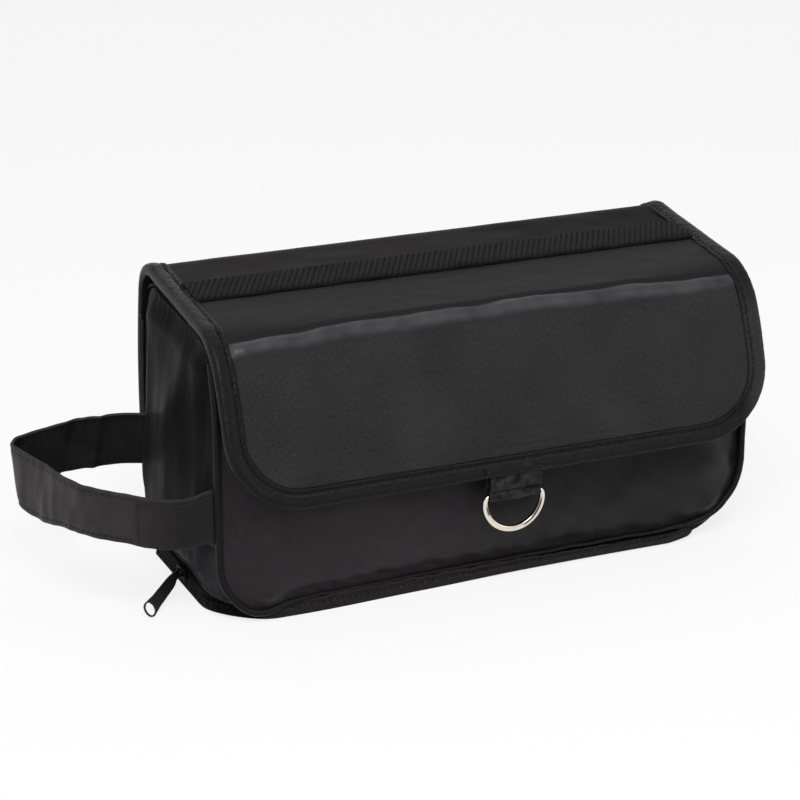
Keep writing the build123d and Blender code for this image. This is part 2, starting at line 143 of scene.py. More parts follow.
# The ring's bar, seen from the side, its bow, and its tab
BAR_Y = -72.9
BAR_Z = 54.5
BAR_CORNER = 2.8
RING_WIRE = 1.9
RING_SHOULDER = 3.0
TAB_FRONT_TOP = 69.0
TAB_REAR_TOP = 84.0
TAB_BELOW_BAR = 1.7
TAB_CORNER = 2.1
TAB_WIDER = 1.2
TAB_FOLD = 2.2
TAB_SEAM = 3.2
TACK_HALF = 19.0

# The hook and loop patches
PATCH_CENTRE = 75.0
PATCH_HALF = 25.0
PATCH_FOOT = 80.0
PATCH_TOP = 96.0

# The pull, which swings out from the slider and droops a little
PULL_SWING = 49.0
PULL_DROOP = 6.2
PULL_LENGTH = 42.0
PULL_ROOT = -0.8
PULL_TIP = 4.0
SLOT_BEFORE_TIP = 4.6
SLOT_HALF = 3.7
SLOT_WIDE = 3.2
PIN_RADIUS = 0.6
PIN_LENGTH = 5.4
PULL_HALF = [(0, 2.2), (3, 2.5), (8, 3.0), (16, 3.2), (28, 3.4), (35, 3.9), (38, 4.1)]
PULL_ROLL = radians(36)

# The strap
STRAP_WIDTH = {"front": 26.4, "rear": 28.8}
STRAP_ROUTE = [(-149.8, -48.5), (-176, -41), (-207, -14), (-226, 51), (-190, 60), (-165, 56), (-150.4, 46)]
STRAP_RADII = [50, 50, 8, 40, 25]
STRAP_FRONT_HEIGHT = 53.0
STRAP_REAR_HEIGHT = 66.0
STRAP_SLANT = 9.0
STRAP_DOUBLING = 40.0
STRAP_RIM = 15.0
STRAP_ROW = 0.82
ANCHOR_HALF = 13.0

# How far painted shade, painted light and random tone may darken or lighten a cloth
PALEST = -3.0
DARKEST = 0.98

joints = {joint["name"]: joint for joint in frame["joints"]}


def smooth(x):
    """0 below 0, 1 above 1, and an even step between."""
    x = min(max(x, 0.0), 1.0)
    return x * x * (3 - 2 * x)


def mix(a, b, t):
    """From a at 0 to b at 1."""
    return a + (b - a) * t


def bump(x, width):
    """A bell curve: 1 at 0, and nearly gone at twice the width."""
    return exp(-(x / width) ** 2)


def waves(x, y=0.0, seed=0.0):
    """Smooth noise from about -1 to 1, the same on every run."""
    return noise.noise(Vector((x, y, seed)))


class Route:
    """A line through space that is looked up by the distance along it."""

    def __init__(self, points):
        self.points = [Vector(p) for p in points]
        self.distance = [0.0]
        for a, b in zip(self.points, self.points[1:]):
            self.distance.append(self.distance[-1] + (b - a).length)
        self.length = self.distance[-1]

    def find(self, d):
        """The number of the stretch in which a distance lies."""
        low, high = 0, len(self.points) - 2
        while low < high:
            middle = (low + high + 1) // 2
            if self.distance[middle] <= d:
                low = middle
            else:
                high = middle - 1
        return low

    def at(self, d):
        """The point at a distance."""
        i = self.find(d)
        step = self.distance[i + 1] - self.distance[i]
        t = min(max((d - self.distance[i]) / step, 0.0), 1.0)
        return self.points[i].lerp(self.points[i + 1], t)

    def direction(self, d, reach=0.6):
        """The line's direction at a distance, evened over a short reach both ways."""
        a = self.at(max(d - reach, 0.0))
        b = self.at(min(d + reach, self.length))
        return (b - a).normalized()

    def reaches(self, test, start=0.0):
        """The first distance, from start on, at which a point passes the test."""
        for point, d in zip(self.points, self.distance):
            if d >= start and test(point):
                return d
        return self.length


def rounded(corners, radii, step=0.5):
    """Points along straight runs whose corners are arcs of the given radii."""
    corners = [Vector(c) for c in corners]
    points = [corners[0]]
    for before, corner, after, radius in zip(corners, corners[1:], corners[2:], radii):
        a = (before - corner).normalized()
        b = (after - corner).normalized()
        half = a.angle(b) / 2
        reach = radius / (sin(half) / cos(half))
        centre = corner + (a + b).normalized() * (radius / sin(half))
        first = corner + a * reach - centre
        last = corner + b * reach - centre
        turn = first.angle(last)
        count = max(int(radius * turn / step), 4)
        for i in range(count + 1):
            t = i / count
            arc = (first * sin((1 - t) * turn) + last * sin(t * turn)) / sin(turn)
            points.append(centre + arc)
    points.append(corners[-1])
    dense = [points[0]]
    for point in points[1:]:
        gap = (point - dense[-1]).length
        parts = max(int(gap / step), 1)
        start = dense[-1].copy()
        for i in range(1, parts + 1):
            dense.append(start.lerp(point, i / parts))
    return dense


def back_bow(z):
    """How far the back swells out at a height."""
    middle = HEIGHT / 2
    return BACK_BULGE * (1 - ((z - middle) / middle) ** 2)


def swell(point):
    """Moves a point of the plain side outline out to the bulging back and flap."""
    if point.z < HEIGHT:
        point.y += back_bow(point.z) * smooth((point.y - BACK + 16) / 14)
    if point.z < CREASE[1] and point.y < CREASE[0] + 4:
        t = (CREASE[1] - point.z) / (CREASE[1] - FLAP_TIP[1])
        lean = hypot(FLAP_TIP[0] - CREASE[0], FLAP_TIP[1] - CREASE[1])
        push = FLAP_BULGE * 4 * t * (1 - t) if 0 < t < 1 else 0.0
        point.y -= push * (CREASE[1] - FLAP_TIP[1]) / lean
        point.z += push * (FLAP_TIP[0] - CREASE[0]) / lean
    return point


def side_outline(crease_radius):
    """The sheet's outer face from the side: base, back, top and flap."""
    corners = [(0, BASE_FRONT, 0), (0, BACK, 0), (0, BACK, HEIGHT), (0, *CREASE), (0, *FLAP_TIP)]
    plain = rounded(corners, [REAR_FOOT_RADIUS, TOP_REAR_RADIUS, crease_radius])
    return Route([swell(point) for point in plain])


side = side_outline(CREASE_RADIUS)
side_end = side_outline(CREASE_END_RADIUS)
REAR_FOOT = side.reaches(lambda p: p.z > 6)
FOLD = side.reaches(lambda p: p.z > FOLD_HEIGHT)
TOP_REAR = side.reaches(lambda p: p.y < BACK - 10, FOLD)
WEB_REAR = side.reaches(lambda p: p.y < WEBBING_REAR, FOLD)
SPLIT_AT = side.reaches(lambda p: p.y < SPLIT, FOLD)
WEB_FRONT = side.reaches(lambda p: p.y < WEBBING_FRONT, FOLD)
CREASE_AT = side.reaches(lambda p: p.y < CREASE[0], FOLD)
FLAP_END = side.reaches(lambda p: p.z < FLAP_EDGE, CREASE_AT)


def crease_span(route):
    """The stretch of the outline, from the top's front part to the flap's middle, that the crease bends."""
    start = route.reaches(lambda p: p.y < -12, FOLD)
    return start, route.reaches(lambda p: p.z < 102, start)


SPAN = crease_span(side)
END_SPAN = crease_span(side_end)


def outline_at(s, x):
    """A point of the side outline, whose crease is rounder towards the bag's ends."""
    point = side.at(s)
    ends = smooth((abs(x) - CREASE_EVEN) / CREASE_FADE)
    if s <= SPAN[0] or ends == 0:
        return point
    if s < SPAN[1]:
        far = mix(END_SPAN[0], END_SPAN[1], (s - SPAN[0]) / (SPAN[1] - SPAN[0]))
    else:
        far = s - SPAN[1] + END_SPAN[1]
    return point.lerp(side_end.at(far), ends)


def outward(s, x=0.0):
    """The direction away from the sheet's outer face."""
    d = (outline_at(s + 1.5, x) - outline_at(s - 1.5, x)).normalized()
    return Vector((0, d.z, -d.y))


def on_sheet(s, x, height):
    """A point over the sheet: s along its side outline, x along the bag, height above its outer face."""
    height += 0.8 * bump(s - TOP_REAR + 4, 9)
    point = outline_at(s, x) + outward(s, x) * height
    wider = 1.3 * smooth((x - 100) / 49) * bump(s - CREASE_AT - 25, 36)
    return Vector((x + wider, point.y, point.z))


def select(*pieces):
    """Selects these pieces alone and makes the last one active."""
    bpy.ops.object.select_all(action="DESELECT")
    for piece in pieces:
        piece.select_set(True)
    bpy.context.view_layer.objects.active = pieces[-1]


def finish(piece, name, material):
    """Names a piece and gives it its materials."""
    piece.name = name
    piece.data.name = name
    piece.data.materials.clear()
    for one in material if isinstance(material, list) else [material]:
        piece.data.materials.append(one)
    return piece


def apply_modifiers(piece):
    """Turns a piece's modifiers into mesh."""
    select(piece)
    for modifier in list(piece.modifiers):
        bpy.ops.object.modifier_apply(modifier=modifier.name)


def cloth(columns, rows, place, size, inside=None, leg=None):
    """A grid of fabric: place(u, v) sets each point, and the UV map is in metres. Its faces are
    turned to look away from the point inside. Of a folded tape, only the outer leg is asked."""
    bpy.ops.mesh.primitive_grid_add(x_subdivisions=columns, y_subdivisions=rows, size=1)
    piece = bpy.context.object
    mesh = piece.data
    for vertex in mesh.vertices:
        vertex.co = place(vertex.co.x + 0.5, vertex.co.y + 0.5) * MM
    chart = mesh.uv_layers[0].data
    for corner in chart:
        corner.uv = (corner.uv[0] * size[0] * MM, corner.uv[1] * size[1] * MM)
    mesh.update()
    if inside is not None:
        centre = Vector(inside) * MM
        asked = [face for face in mesh.polygons if leg is None or chart[face.loop_start].uv[1] < leg * MM]
        if sum((face.center - centre).dot(face.normal) * face.area for face in asked) < 0:
            mesh.flip_normals()
    select(piece)
    bpy.ops.object.shade_smooth()
    return piece


def thicken(piece, thickness, lined=False):
    """Gives a sheet its thickness inwards. A lined sheet has its second material inside."""
    solid = piece.modifiers.new("thickness", "SOLIDIFY")
    solid.thickness = thickness * MM
    solid.offset = -1
    solid.use_even_offset = True
    solid.use_quality_normals = True
    if lined:
        solid.material_offset = 1
        solid.material_offset_rim = 0
    apply_modifiers(piece)


def close_tube(piece):
    """Merges the seam of a rolled-up grid, closes its ends and turns its faces outwards."""
    select(piece)
    bpy.ops.object.mode_set(mode="EDIT")
    bpy.ops.mesh.select_all(action="SELECT")
    bpy.ops.mesh.remove_doubles(threshold=0.00001)
    bpy.ops.mesh.fill_holes(sides=0)
    bpy.ops.mesh.normals_make_consistent(inside=False)
    bpy.ops.object.mode_set(mode="OBJECT")


def store(piece, name, values):
    """Keeps a number for each point of a mesh, for its material to read."""
    attribute = piece.data.attributes.new(name, "FLOAT", "POINT")
    attribute.data.foreach_set("value", values)


def sewn(name, grid, place, size, material, inside=None, thick=None, lined=False, leg=None,
         shares=None):
    """A piece of cloth from its grid to its name: a sheet where a thickness is given, or else a closed tube.
    Its shares say how far each point is darkened, or lightened below none: painted shade, painted light and
    random tone."""
    piece = cloth(*grid, place, size, inside, leg)
    if shares:
        store(piece, "painted_light_shade_and_tone", [min(max(share, PALEST), DARKEST) for share in shares])
    if thick:
        thicken(piece, thick, lined)
    else:
        close_tube(piece)
    return finish(piece, name, material)


def copies(pattern, places):
    """One mesh that holds the pattern at every place, where a place is a matrix in millimetres."""
    points = [v.co.copy() for v in pattern.data.vertices]
    faces = [list(f.vertices) for f in pattern.data.polygons]
    bpy.data.objects.remove(pattern)
    all_points, all_faces = [], []
    for place in places:
        start = len(all_points)
        all_points += [(place @ p) * MM for p in points]
        all_faces += [[start + i for i in face] for face in faces]
    mesh = bpy.data.meshes.new("copies")
    mesh.from_pydata(all_points, [], all_faces)
    mesh.update()
    piece = bpy.data.objects.new("copies", mesh)
    bpy.context.scene.collection.objects.link(piece)
    select(piece)
    bpy.ops.object.shade_smooth()
    return piece


def axes(origin, x, y, z):
    """The matrix of a frame with that origin and those axes."""
    return Matrix.Translation(origin) @ Matrix((x, y, z)).transposed().to_4x4()


def stitch_pattern():
    """One stitch: a short rounded thread that dips at both ends."""
    bpy.ops.mesh.primitive_uv_sphere_add(segments=8, ring_count=6, radius=0.5)
    piece = bpy.context.object
    for vertex in piece.data.vertices:
        x, y, z = vertex.co
        along = z * STITCH
        vertex.co = Vector((along, x * 0.62, y * 0.62 - 0.30 * (along / STITCH * 2) ** 2))
    return piece


def stitches(name, line, start, end):
    """A row of stitches: line(d) gives the point and the surface's normal at a distance."""
    count = int((end - start) / STITCH_PITCH)
    places = []
    for i in range(count):
        d = start + (i + 0.5) * (end - start) / count
        point, normal = line(d)
        along = (line(d + 0.5)[0] - line(d - 0.5)[0]).normalized()
        across = normal.cross(along).normalized()
        up = along.cross(across)
        along = (along + across * 0.06 * waves(i * 0.7, 0, 3)).normalized()
        places.append(axes(point, along, up.cross(along), up))
    return finish(copies(stitch_pattern(), places), name, thread)


# Materials


def new_group(name, inputs, outputs):
    """An empty group: inputs maps each label to its default, or None for a vector. It puts out values."""
    group = bpy.data.node_groups.new(name, "ShaderNodeTree")
    for label, default in inputs.items():
        kind = "NodeSocketVector" if default is None else "NodeSocketFloat"
        socket = group.interface.new_socket(label, in_out="INPUT", socket_type=kind)
        if default is not None:
            socket.default_value = default
    for label in outputs:
        group.interface.new_socket(label, in_out="OUTPUT", socket_type="NodeSocketFloat")
    return group, group.nodes.new("NodeGroupInput").outputs, group.nodes.new("NodeGroupOutput").inputs


def feed(tree, socket, value):
    """Links a node's output to a socket, or sets the socket to a plain value."""
    if isinstance(value, bpy.types.NodeSocket):
        tree.links.new(value, socket)
    else:
        socket.default_value = value


def add_node(tree, kind, setting=None, **inputs):
    """A node whose inputs are fed by name, with a blank for each underscore."""
    node = tree.nodes.new(kind)
    for name, value in (setting or {}).items():
        setattr(node, name, value)
    for name, value in inputs.items():
        feed(tree, node.inputs[name.replace("_", " ")], value)
    return node


def math_node(tree, operation, a, b=0.5):
    """One step of arithmetic on sockets or plain values."""
    node = add_node(tree, "ShaderNodeMath", {"operation": operation})
    feed(tree, node.inputs[0], a)
    feed(tree, node.inputs[1], b)
    return node.outputs[0]


def plus(tree, *terms):
    """The sum of sockets and plain values."""
    total = terms[0]
    for term in terms[1:]:
        total = math_node(tree, "ADD", total, term)
    return total


def times(tree, a, b):
    """The product of two sockets or plain values."""
    return math_node(tree, "MULTIPLY", a, b)


def evened(tree, pattern, share):
    """A pattern from 0 to 1 as a tone that goes as far below none as above."""
    return times(tree, math_node(tree, "SUBTRACT", pattern, 0.5), share)


def make_weave():
    """Crossing or slanted threads: warp and weft from the map, as a height and a dark-between mask."""
    inputs = {"Vector": None, "Warp pitch": 0.0004, "Weft pitch": 0.0004, "Slant": 0.0}
    group, inp, out = new_group("threads", inputs, ("Height", "Mask"))
    split = add_node(group, "ShaderNodeSeparateXYZ", Vector=inp["Vector"])
    x, y = split.outputs[0], split.outputs[1]
    runs = []
    for run, pitch in ((plus(group, x, times(group, y, inp["Slant"])), "Warp pitch"), (y, "Weft pitch")):
        turns = math_node(group, "DIVIDE", run, inp[pitch])
        runs.append(math_node(group, "SINE", times(group, turns, 2 * pi)))
    crossed = times(group, *runs)
    total = plus(group, times(group, runs[0], 0.5), times(group, crossed, 0.5))
    height = plus(group, times(group, total, 0.5), 0.5)
    for label in ("Height", "Mask"):
        feed(group, out[label], height)
    return group


def make_mottle():
    """Soft cloudy variation and fine speckle, for dye, handling and lint."""
    inputs = {"Vector": None, "Map": None, "Cloud scale": 30.0, "Speck scale": 900.0, "Fleck scale": 330.0}
    group, inp, out = new_group("handling", inputs, ("Cloud", "Speck", "Fleck"))
    turn = add_node(
        group, "ShaderNodeVectorRotate", {"rotation_type": "Z_AXIS"}, Angle=radians(-24), Vector=inp["Map"]
    )
    stretch = add_node(group, "ShaderNodeVectorMath", {"operation": "MULTIPLY"})
    feed(group, stretch.inputs[0], turn.outputs[0])
    feed(group, stretch.inputs[1], (1.0, 0.4, 1.0))
    even, slanted = inp["Vector"], stretch.outputs[0]
    for label, detail, vector in (("Cloud", 4.0, even), ("Speck", 2.0, even), ("Fleck", 3.0, slanted)):
        texture = add_node(
            group, "ShaderNodeTexNoise", Detail=detail, Vector=vector, Scale=inp[label + " scale"]
        )
        feed(group, out[label], texture.outputs["Fac"])
    return group


threads = make_weave()
handling = make_mottle()


def new_material(name, group_inputs):
    """A material with its shader, its coordinates and the shared cloudy variation."""
    material = bpy.data.materials.new(name)
    material.use_nodes = True
    tree = material.node_tree
    coordinates = tree.nodes.new("ShaderNodeTexCoord").outputs
    mottle = add_node(tree, "ShaderNodeGroup", {"node_tree": handling}, Vector=coordinates["Object"])
    for label, value in group_inputs.items():
        feed(tree, mottle.inputs[label], value)
    return material, tree, tree.nodes["Principled BSDF"], coordinates, mottle


def dress(tree, shader, color, tone, rough, height, relief, strength):
    """Feeds a shader its colour, darker or paler where the mesh's painted shade, painted light and tone say
    so, its gloss and its relief.
    """
    share = add_node(tree, "ShaderNodeAttribute", {"attribute_name": "painted_light_shade_and_tone"}).outputs["Fac"]
    tint = add_node(tree, "ShaderNodeVectorMath", {"operation": "SCALE"})
    feed(tree, tint.inputs[0], color)
    feed(tree, tint.inputs["Scale"], times(tree, tone, math_node(tree, "SUBTRACT", 1.0, share)))
    feed(tree, shader.inputs["Base Color"], tint.outputs[0])
    feed(tree, shader.inputs["Roughness"], rough)
    bumps = add_node(tree, "ShaderNodeBump", Distance=relief, Strength=strength, Height=height)
    feed(tree, shader.inputs["Normal"], bumps.outputs["Normal"])


def fabric(name, color, roughness, warp=0.0005, weft=0.0005, slant=0.0, relief=0.00008, sheen=0.03,
           cloud=0.25, fine=0.25, gloss=0.2, fleck=0.4, fleck_scale=420.0):
    """A woven cloth: threads in relief, darker between them, with cloudy dye and specks."""
    scales = {"Cloud scale": 26.0, "Speck scale": 1100.0, "Fleck scale": fleck_scale}
    material, tree, shader, coordinates, mottle = new_material(name, scales)
    feed(tree, mottle.inputs["Map"], coordinates["UV"])
    cloudy, speck, flecks = (mottle.outputs[label] for label in ("Cloud", "Speck", "Fleck"))
    weave = add_node(
        tree, "ShaderNodeGroup", {"node_tree": threads},
        Vector=coordinates["UV"], Warp_pitch=warp, Weft_pitch=weft, Slant=slant,
    )
    tone = plus(
        tree, evened(tree, weave.outputs["Mask"], fine), evened(tree, cloudy, cloud * 2),
        evened(tree, speck, fine * 2), evened(tree, flecks, fleck), 1.0,
    )
    rough = plus(tree, times(tree, cloudy, 0.16), roughness - 0.08)
    height = plus(tree, weave.outputs["Height"], times(tree, speck, 0.35), times(tree, flecks, 2.2 * fleck))
    dress(tree, shader, color, tone, rough, height, relief, 0.8)
    shader.inputs["Specular IOR Level"].default_value = gloss
    shader.inputs["Sheen Weight"].default_value = sheen
    shader.inputs["Sheen Roughness"].default_value = 0.4
    return material


def add_satin(material, color, painted_highlight_color, roughness, shine):
    """Turns a cloth to satin where its mesh says so; along the fold it adds a coat and a painted highlight, a
    paler bluish base colour.
    """
    tree = material.node_tree
    shader = tree.nodes["Principled BSDF"]
    shares = []
    for name, tint in (("satin", color), ("pressed_gloss_and_painted_highlight", painted_highlight_color)):
        share = add_node(tree, "ShaderNodeAttribute", {"attribute_name": name}).outputs["Fac"]
        blend = add_node(tree, "ShaderNodeMix", {"data_type": "RGBA"}, Factor=share)
        feed(tree, blend.inputs[6], shader.inputs["Base Color"].links[0].from_socket)
        feed(tree, blend.inputs[7], (*tint, 1.0))
        feed(tree, shader.inputs["Base Color"], blend.outputs[2])
        shares.append(share)
    plain = shader.inputs["Roughness"].links[0].from_socket
    rough = math_node(tree, "SUBTRACT", plain, times(tree, shares[0], roughness))
    feed(tree, shader.inputs["Roughness"], rough)
    feed(tree, shader.inputs["Coat Weight"], times(tree, shares[1], shine))
    shader.inputs["Coat Roughness"].default_value = 0.3
    shader.inputs["Coat IOR"].default_value = 1.35


def smooth_stuff(name, color, roughness, metallic=0.0, relief=0.00003, scale=400.0, gloss=0.5):
    """Metal or plastic with fine unevenness in its gloss and surface."""
    scales = {"Cloud scale": 90.0, "Speck scale": scale}
    material, tree, shader, _, mottle = new_material(name, scales)
    cloudy = mottle.outputs["Cloud"]
    tone = plus(tree, times(tree, cloudy, 0.2), 0.9)
    rough = plus(tree, times(tree, cloudy, 0.1), roughness - 0.05)
    dress(tree, shader, color, tone, rough, mottle.outputs["Speck"], relief, 0.5)
    shader.inputs["Metallic"].default_value = metallic
    shader.inputs["Specular IOR Level"].default_value = gloss
    return material


FOLDED = {"warp": 0.0008, "weft": 0.0030, "relief": 0.00014, "fleck": 0.5}
flap_cloth = fabric("flap_cloth", (0.0238, 0.0241, 0.0238), 0.70, warp=0.0011, weft=0.0007, slant=0.9,
                    relief=0.00018, cloud=0.4, gloss=0.03, fleck=1.2, fleck_scale=1250.0)
# The third colour is a painted highlight along the fold's ridge.
add_satin(flap_cloth, (0.0165, 0.0152, 0.0158), (0.046, 0.045, 0.053), 0.22, 0.6)
satin = fabric("satin", (0.0118, 0.0103, 0.0103), 0.50, fine=0.12, gloss=0.022, fleck=0.3)
nylon = fabric("shiny_nylon", (0.0068, 0.0060, 0.0070), 0.36, warp=0.0004, weft=0.0006, cloud=0.6, fine=0.1,
               gloss=0.006, fleck=0.3)
front_cloth = fabric("front_cloth", (0.0150, 0.0124, 0.0144), 0.38, fine=0.12, gloss=0.10, fleck=0.3)
strap_cloth = fabric("strap_cloth", (0.0215, 0.0180, 0.0200), 0.40, fine=0.14, gloss=0.16)
lining = fabric("lining", (0.005, 0.005, 0.0055), 0.5, warp=0.0004, weft=0.0004, fine=0.1, gloss=0.03)
tape = fabric("binding_tape", (0.0066, 0.0060, 0.0068), 0.38, gloss=0.085, **FOLDED)
hem_tape = fabric("hem_tape", (0.0130, 0.0108, 0.0124), 0.42, gloss=0.085, **FOLDED)
# A darker copy of the hem tape, painted shade, for the hem's rear and far-left runs.
shaded_hem_tape = fabric("hem_tape_painted_shade", (0.0025, 0.0025, 0.0028), 0.6, gloss=0.02, **FOLDED)
# A darker copy of the strap cloth for its inner face: painted shade.
strap_cloth_painted_shade = fabric("strap_cloth_painted_shade", (0.0110, 0.0106, 0.0116), 0.40, fine=0.14, gloss=0.02, cloud=0.9)
tab_cloth = fabric("tab_cloth", (0.0190, 0.0190, 0.0192), 0.5, warp=0.0006, weft=0.0006, fine=0.4, gloss=0.08,
                   cloud=1.3, fleck=0.9)
web = fabric("webbing", (0.0075, 0.0078, 0.0077), 0.6, warp=0.0009, weft=0.0006, slant=0.5, relief=0.0003,
             fine=0.5, gloss=0.04, fleck=0.6)
zip_cloth = fabric("zip_tape", (0.004, 0.004, 0.0045), 0.75, warp=0.0007, weft=0.0006, relief=0.00015,
                   fine=0.4, gloss=0.03)
pile = fabric("pile", (0.009, 0.009, 0.010), 0.9, warp=0.0012, weft=0.0012, relief=0.0006, sheen=0.3,
              fine=0.6)
thread = fabric("thread", (0.006, 0.0058, 0.0064), 0.5, warp=0.0006, weft=0.0006, fine=0.3, gloss=0.1)
coil_nylon = smooth_stuff("coil_nylon", (0.004, 0.004, 0.005), 0.45, gloss=0.06)
PAINTED = {"relief": 0.00008, "scale": 900.0}
black_paint = smooth_stuff("black_paint", (0.024, 0.022, 0.024), 0.42, gloss=0.16, **PAINTED)
slider_paint = smooth_stuff("slider_paint", (0.006, 0.006, 0.007), 0.5, gloss=0.05, **PAINTED)
nickel = smooth_stuff("nickel", (0.78, 0.71, 0.61), 0.10, metallic=1.0, relief=0.00001)


def corner_lift(x, y):
    """How far the base's front corners curl up."""
    end = 1 if x > 0 else -1
    reach = LIFT_REACH[end]
    side_share = min(max((abs(x) - HALF + reach) / reach, 0.0), 1.0)
    front_share = min(max((BASE_FRONT + reach - y) / reach, 0.0), 1.0)
    corner = CORNER_LIFT[end] * side_share**1.3 * front_share**1.3
    return corner + 0.9 * smooth((x + 40) / 60) * (1 - side_share) * front_share


def front_bow(x):
    """How far the base's front edge stands forward."""
    return 2.6 * bump(x + 100, 45) - 0.8 * bump(x - 60, 50)


def overhang(x, z):
    """How far the pouch's front hangs down over the base at its left corner."""
    return 4.4 * bump(x + 130, 17) * bump(z - POUCH_HEM, 24)


def corner_cut(distance, radius):
    """How far a round corner cuts into one edge, at a distance from the other edge."""
    return radius - sqrt(max(radius * radius - (radius - distance) ** 2, 0.0)) if distance < radius else 0.0


def edge_distance(s, x):
    """How far a point of the flap lies inside its edge."""
    dx = HALF - abs(x)
    ds = FLAP_END - s
    if dx < FLAP_CORNER and ds < FLAP_CORNER:
        return FLAP_CORNER - hypot(FLAP_CORNER - dx, FLAP_CORNER - ds)
    return min(dx, ds)


def back_relief(s, x):
    """The height of the outer face of the base, the back and the top over the plain outline."""
    base = smooth((REAR_FOOT + 4 - s) / 8)
    back = smooth((s - REAR_FOOT) / 20) * smooth((TOP_REAR - s) / 20)
    top = smooth((s - TOP_REAR + 10) / 20)
    soft = 1.2 * waves(x / 55, s / 40, 5) + 0.5 * waves(x / 17, s / 14, 6)
    quiet = 0.5 * waves(x / 45, s / 18, 7) + 0.25 * waves(x / 14, s / 9, 8)
    under_web = smooth((s - WEB_REAR + 3) / 3)
    lift = BASE_LIFT + corner_lift(x, BASE_FRONT + s)
    return -lift * base + back * soft - 0.3 + top * (1 - under_web) * quiet


def make_back_sheet():
    """The base, the back and the top's rear part: satin outside and lining inside."""
    shares = []

    def place(u, v):
        s = v * SPLIT_AT
        left, right = (HALF - corner_cut(s, BASE_CORNER[sign]) for sign in (-1, 1))
        x = mix(-left, right, u)
        point = on_sheet(s, x, back_relief(s, x))
        point.y -= front_bow(x) * (1 - smooth(s / 30))
        top = smooth((s - TOP_REAR + 10) / 20)
        rubbed = 0.30 * waves(x / 26, s / 16, 9) + 0.16 * waves(x / 9, s / 8, 10)
        # Painted shade: the top is darker towards the right end; the rubbed waves are random tone.
        shares.append(top * (0.62 * smooth((x + 30) / 140) - 0.04 + rubbed))
        return point

    sheet = sewn("back_sheet", (120, 190), place, (2 * HALF, SPLIT_AT), [satin, lining],
                 INSIDE, SHELL, lined=True, shares=shares)
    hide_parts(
        "base_panel", "base_board", "base_lining", "back_panel", "back_foam", "back_lining",
        "top_panel", "top_foam", "top_lining",
    )
    return sheet


def crease_line(x):
    """Where the flap's stiff panel starts, as a distance that waves a little along the crease."""
    return CREASE_AT - 2.5 + 2.4 * waves(x / 42, 0, 11) + 1.0 * waves(x / 14, 0, 12)


def flap_relief(s, x):
    """The flap's outer face: a groove above the crease, then the stiff panel with its soft edge."""
    line = crease_line(x)
    panel = smooth((s - line) / 3)
    ridge = 1.5 * bump(s - line - 5.5, 4.6) * (1 + 0.5 * waves(x / 26, 0, 17))
    groove = ridge - 1.5 * bump(s - line + 1.0, 1.6)
    inner = edge_distance(s, x) - TAPE_WIDTH
    groove *= smooth((inner + 2) / 5)
    margin = -0.5 * bump(inner - 3.5, 1.1) * panel
    flat = 0.45 * waves(x / 60, s / 45, 13) + 0.12 * waves(x / 9, s / 12, 14)
    strip = (0.35 * waves(x / 30, s / 12, 15) + 0.2 * waves(x / 10, s / 7, 16)) * (1 - panel)
    return -0.3 + groove + margin + 0.8 * panel * smooth((inner + 1) / 5) + flat * panel + strip


def make_flap_sheet():
    """The flap: twill in front, satin over the fold with a painted highlight along it, and the lining inside.
    """
    shares = []

    def place(u, v):
        v = 1 - (1 - v) ** 1.15
        s = mix(SPLIT_AT, FLAP_END, v)
        half = HALF - corner_cut(FLAP_END - s, FLAP_CORNER)
        x = mix(-half, half, u)
        below = s - crease_line(x)
        # Painted highlight: a patchy band just below the crease line lifts the base colour, and adds a coat.
        shine = smooth((below - 0.6) / 2.2) * (1 - smooth((below - 6.0) / 5))
        patchy = 0.75 + 0.5 * waves(x / 24, 0, 19) + 0.3 * waves(x / 7, s / 5, 20)
        shares.append((1 - smooth((below - 8.5) / 2.5), min(max(shine * patchy, 0.0), 1.0)))
        return on_sheet(s, x, flap_relief(s, x))

    sheet = cloth(240, 150, place, (2 * HALF, FLAP_END - SPLIT_AT), INSIDE)
    for name, values in zip(("satin", "pressed_gloss_and_painted_highlight"), zip(*shares)):
        store(sheet, name, values)
    thicken(sheet, SHELL, lined=True)
    finish(sheet, "flap_sheet", [flap_cloth, lining])
    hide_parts("flap_panel", "flap_foam", "flap_lining")
    return sheet


def tape_section(d):
    """A point of the folded tape's section, from its inner edge round the lip to the inside leg's end."""
    if d < TAPE_WIDTH:
        inset = TAPE_WIDTH - d
        return inset, TAPE + 0.1 - 0.4 * bump(inset, 0.9) - 0.8 * bump(inset - TAPE_WIDTH, 0.9)
    if d < TAPE_WIDTH + LIP:
        t = (d - TAPE_WIDTH) / LIP
        return -0.75 * sin(pi * t), mix(TAPE - 0.3, -SHEET - 0.7, t)
    return d - TAPE_WIDTH - LIP, -SHEET - 0.8


def tape_pucker(spot, inset):
    """The tape's small gathers at a place, which are strongest along its stitch line."""
    fine = waves(spot.x / 2.4, spot.y / 2.4, 21) * 0.42
    broad = waves(spot.x / 8, spot.y / 8, 22) * 0.45
    stitch_line = bump(inset - TAPE_WIDTH + STITCH_INSET, 1.1)
    hole = 0.5 + 0.5 * cos(2 * pi * (spot.x + spot.y) / STITCH_PITCH)
    roll = 0.5 * bump(inset - 2.6, 2.6)
    gathers = (fine + broad) * (0.45 + 0.55 * smooth(inset / TAPE_WIDTH))
    return roll + gathers - stitch_line * (0.55 + 0.25 * hole)


def edge_spot(edge, d, inset):
    """A spot at an inset from the sheet's edge, as the edge's own points: along the outline, x, 0."""
    point = edge.at(d)
    along = edge.direction(d)
    inward = Vector((-along.y, along.x, 0))
    middle = Vector((mix(SPLIT_AT, CREASE_AT, 0.5), 0, 0))
    if inward.dot(middle - point) < 0:
        inward = -inward
    return point + inward * inset


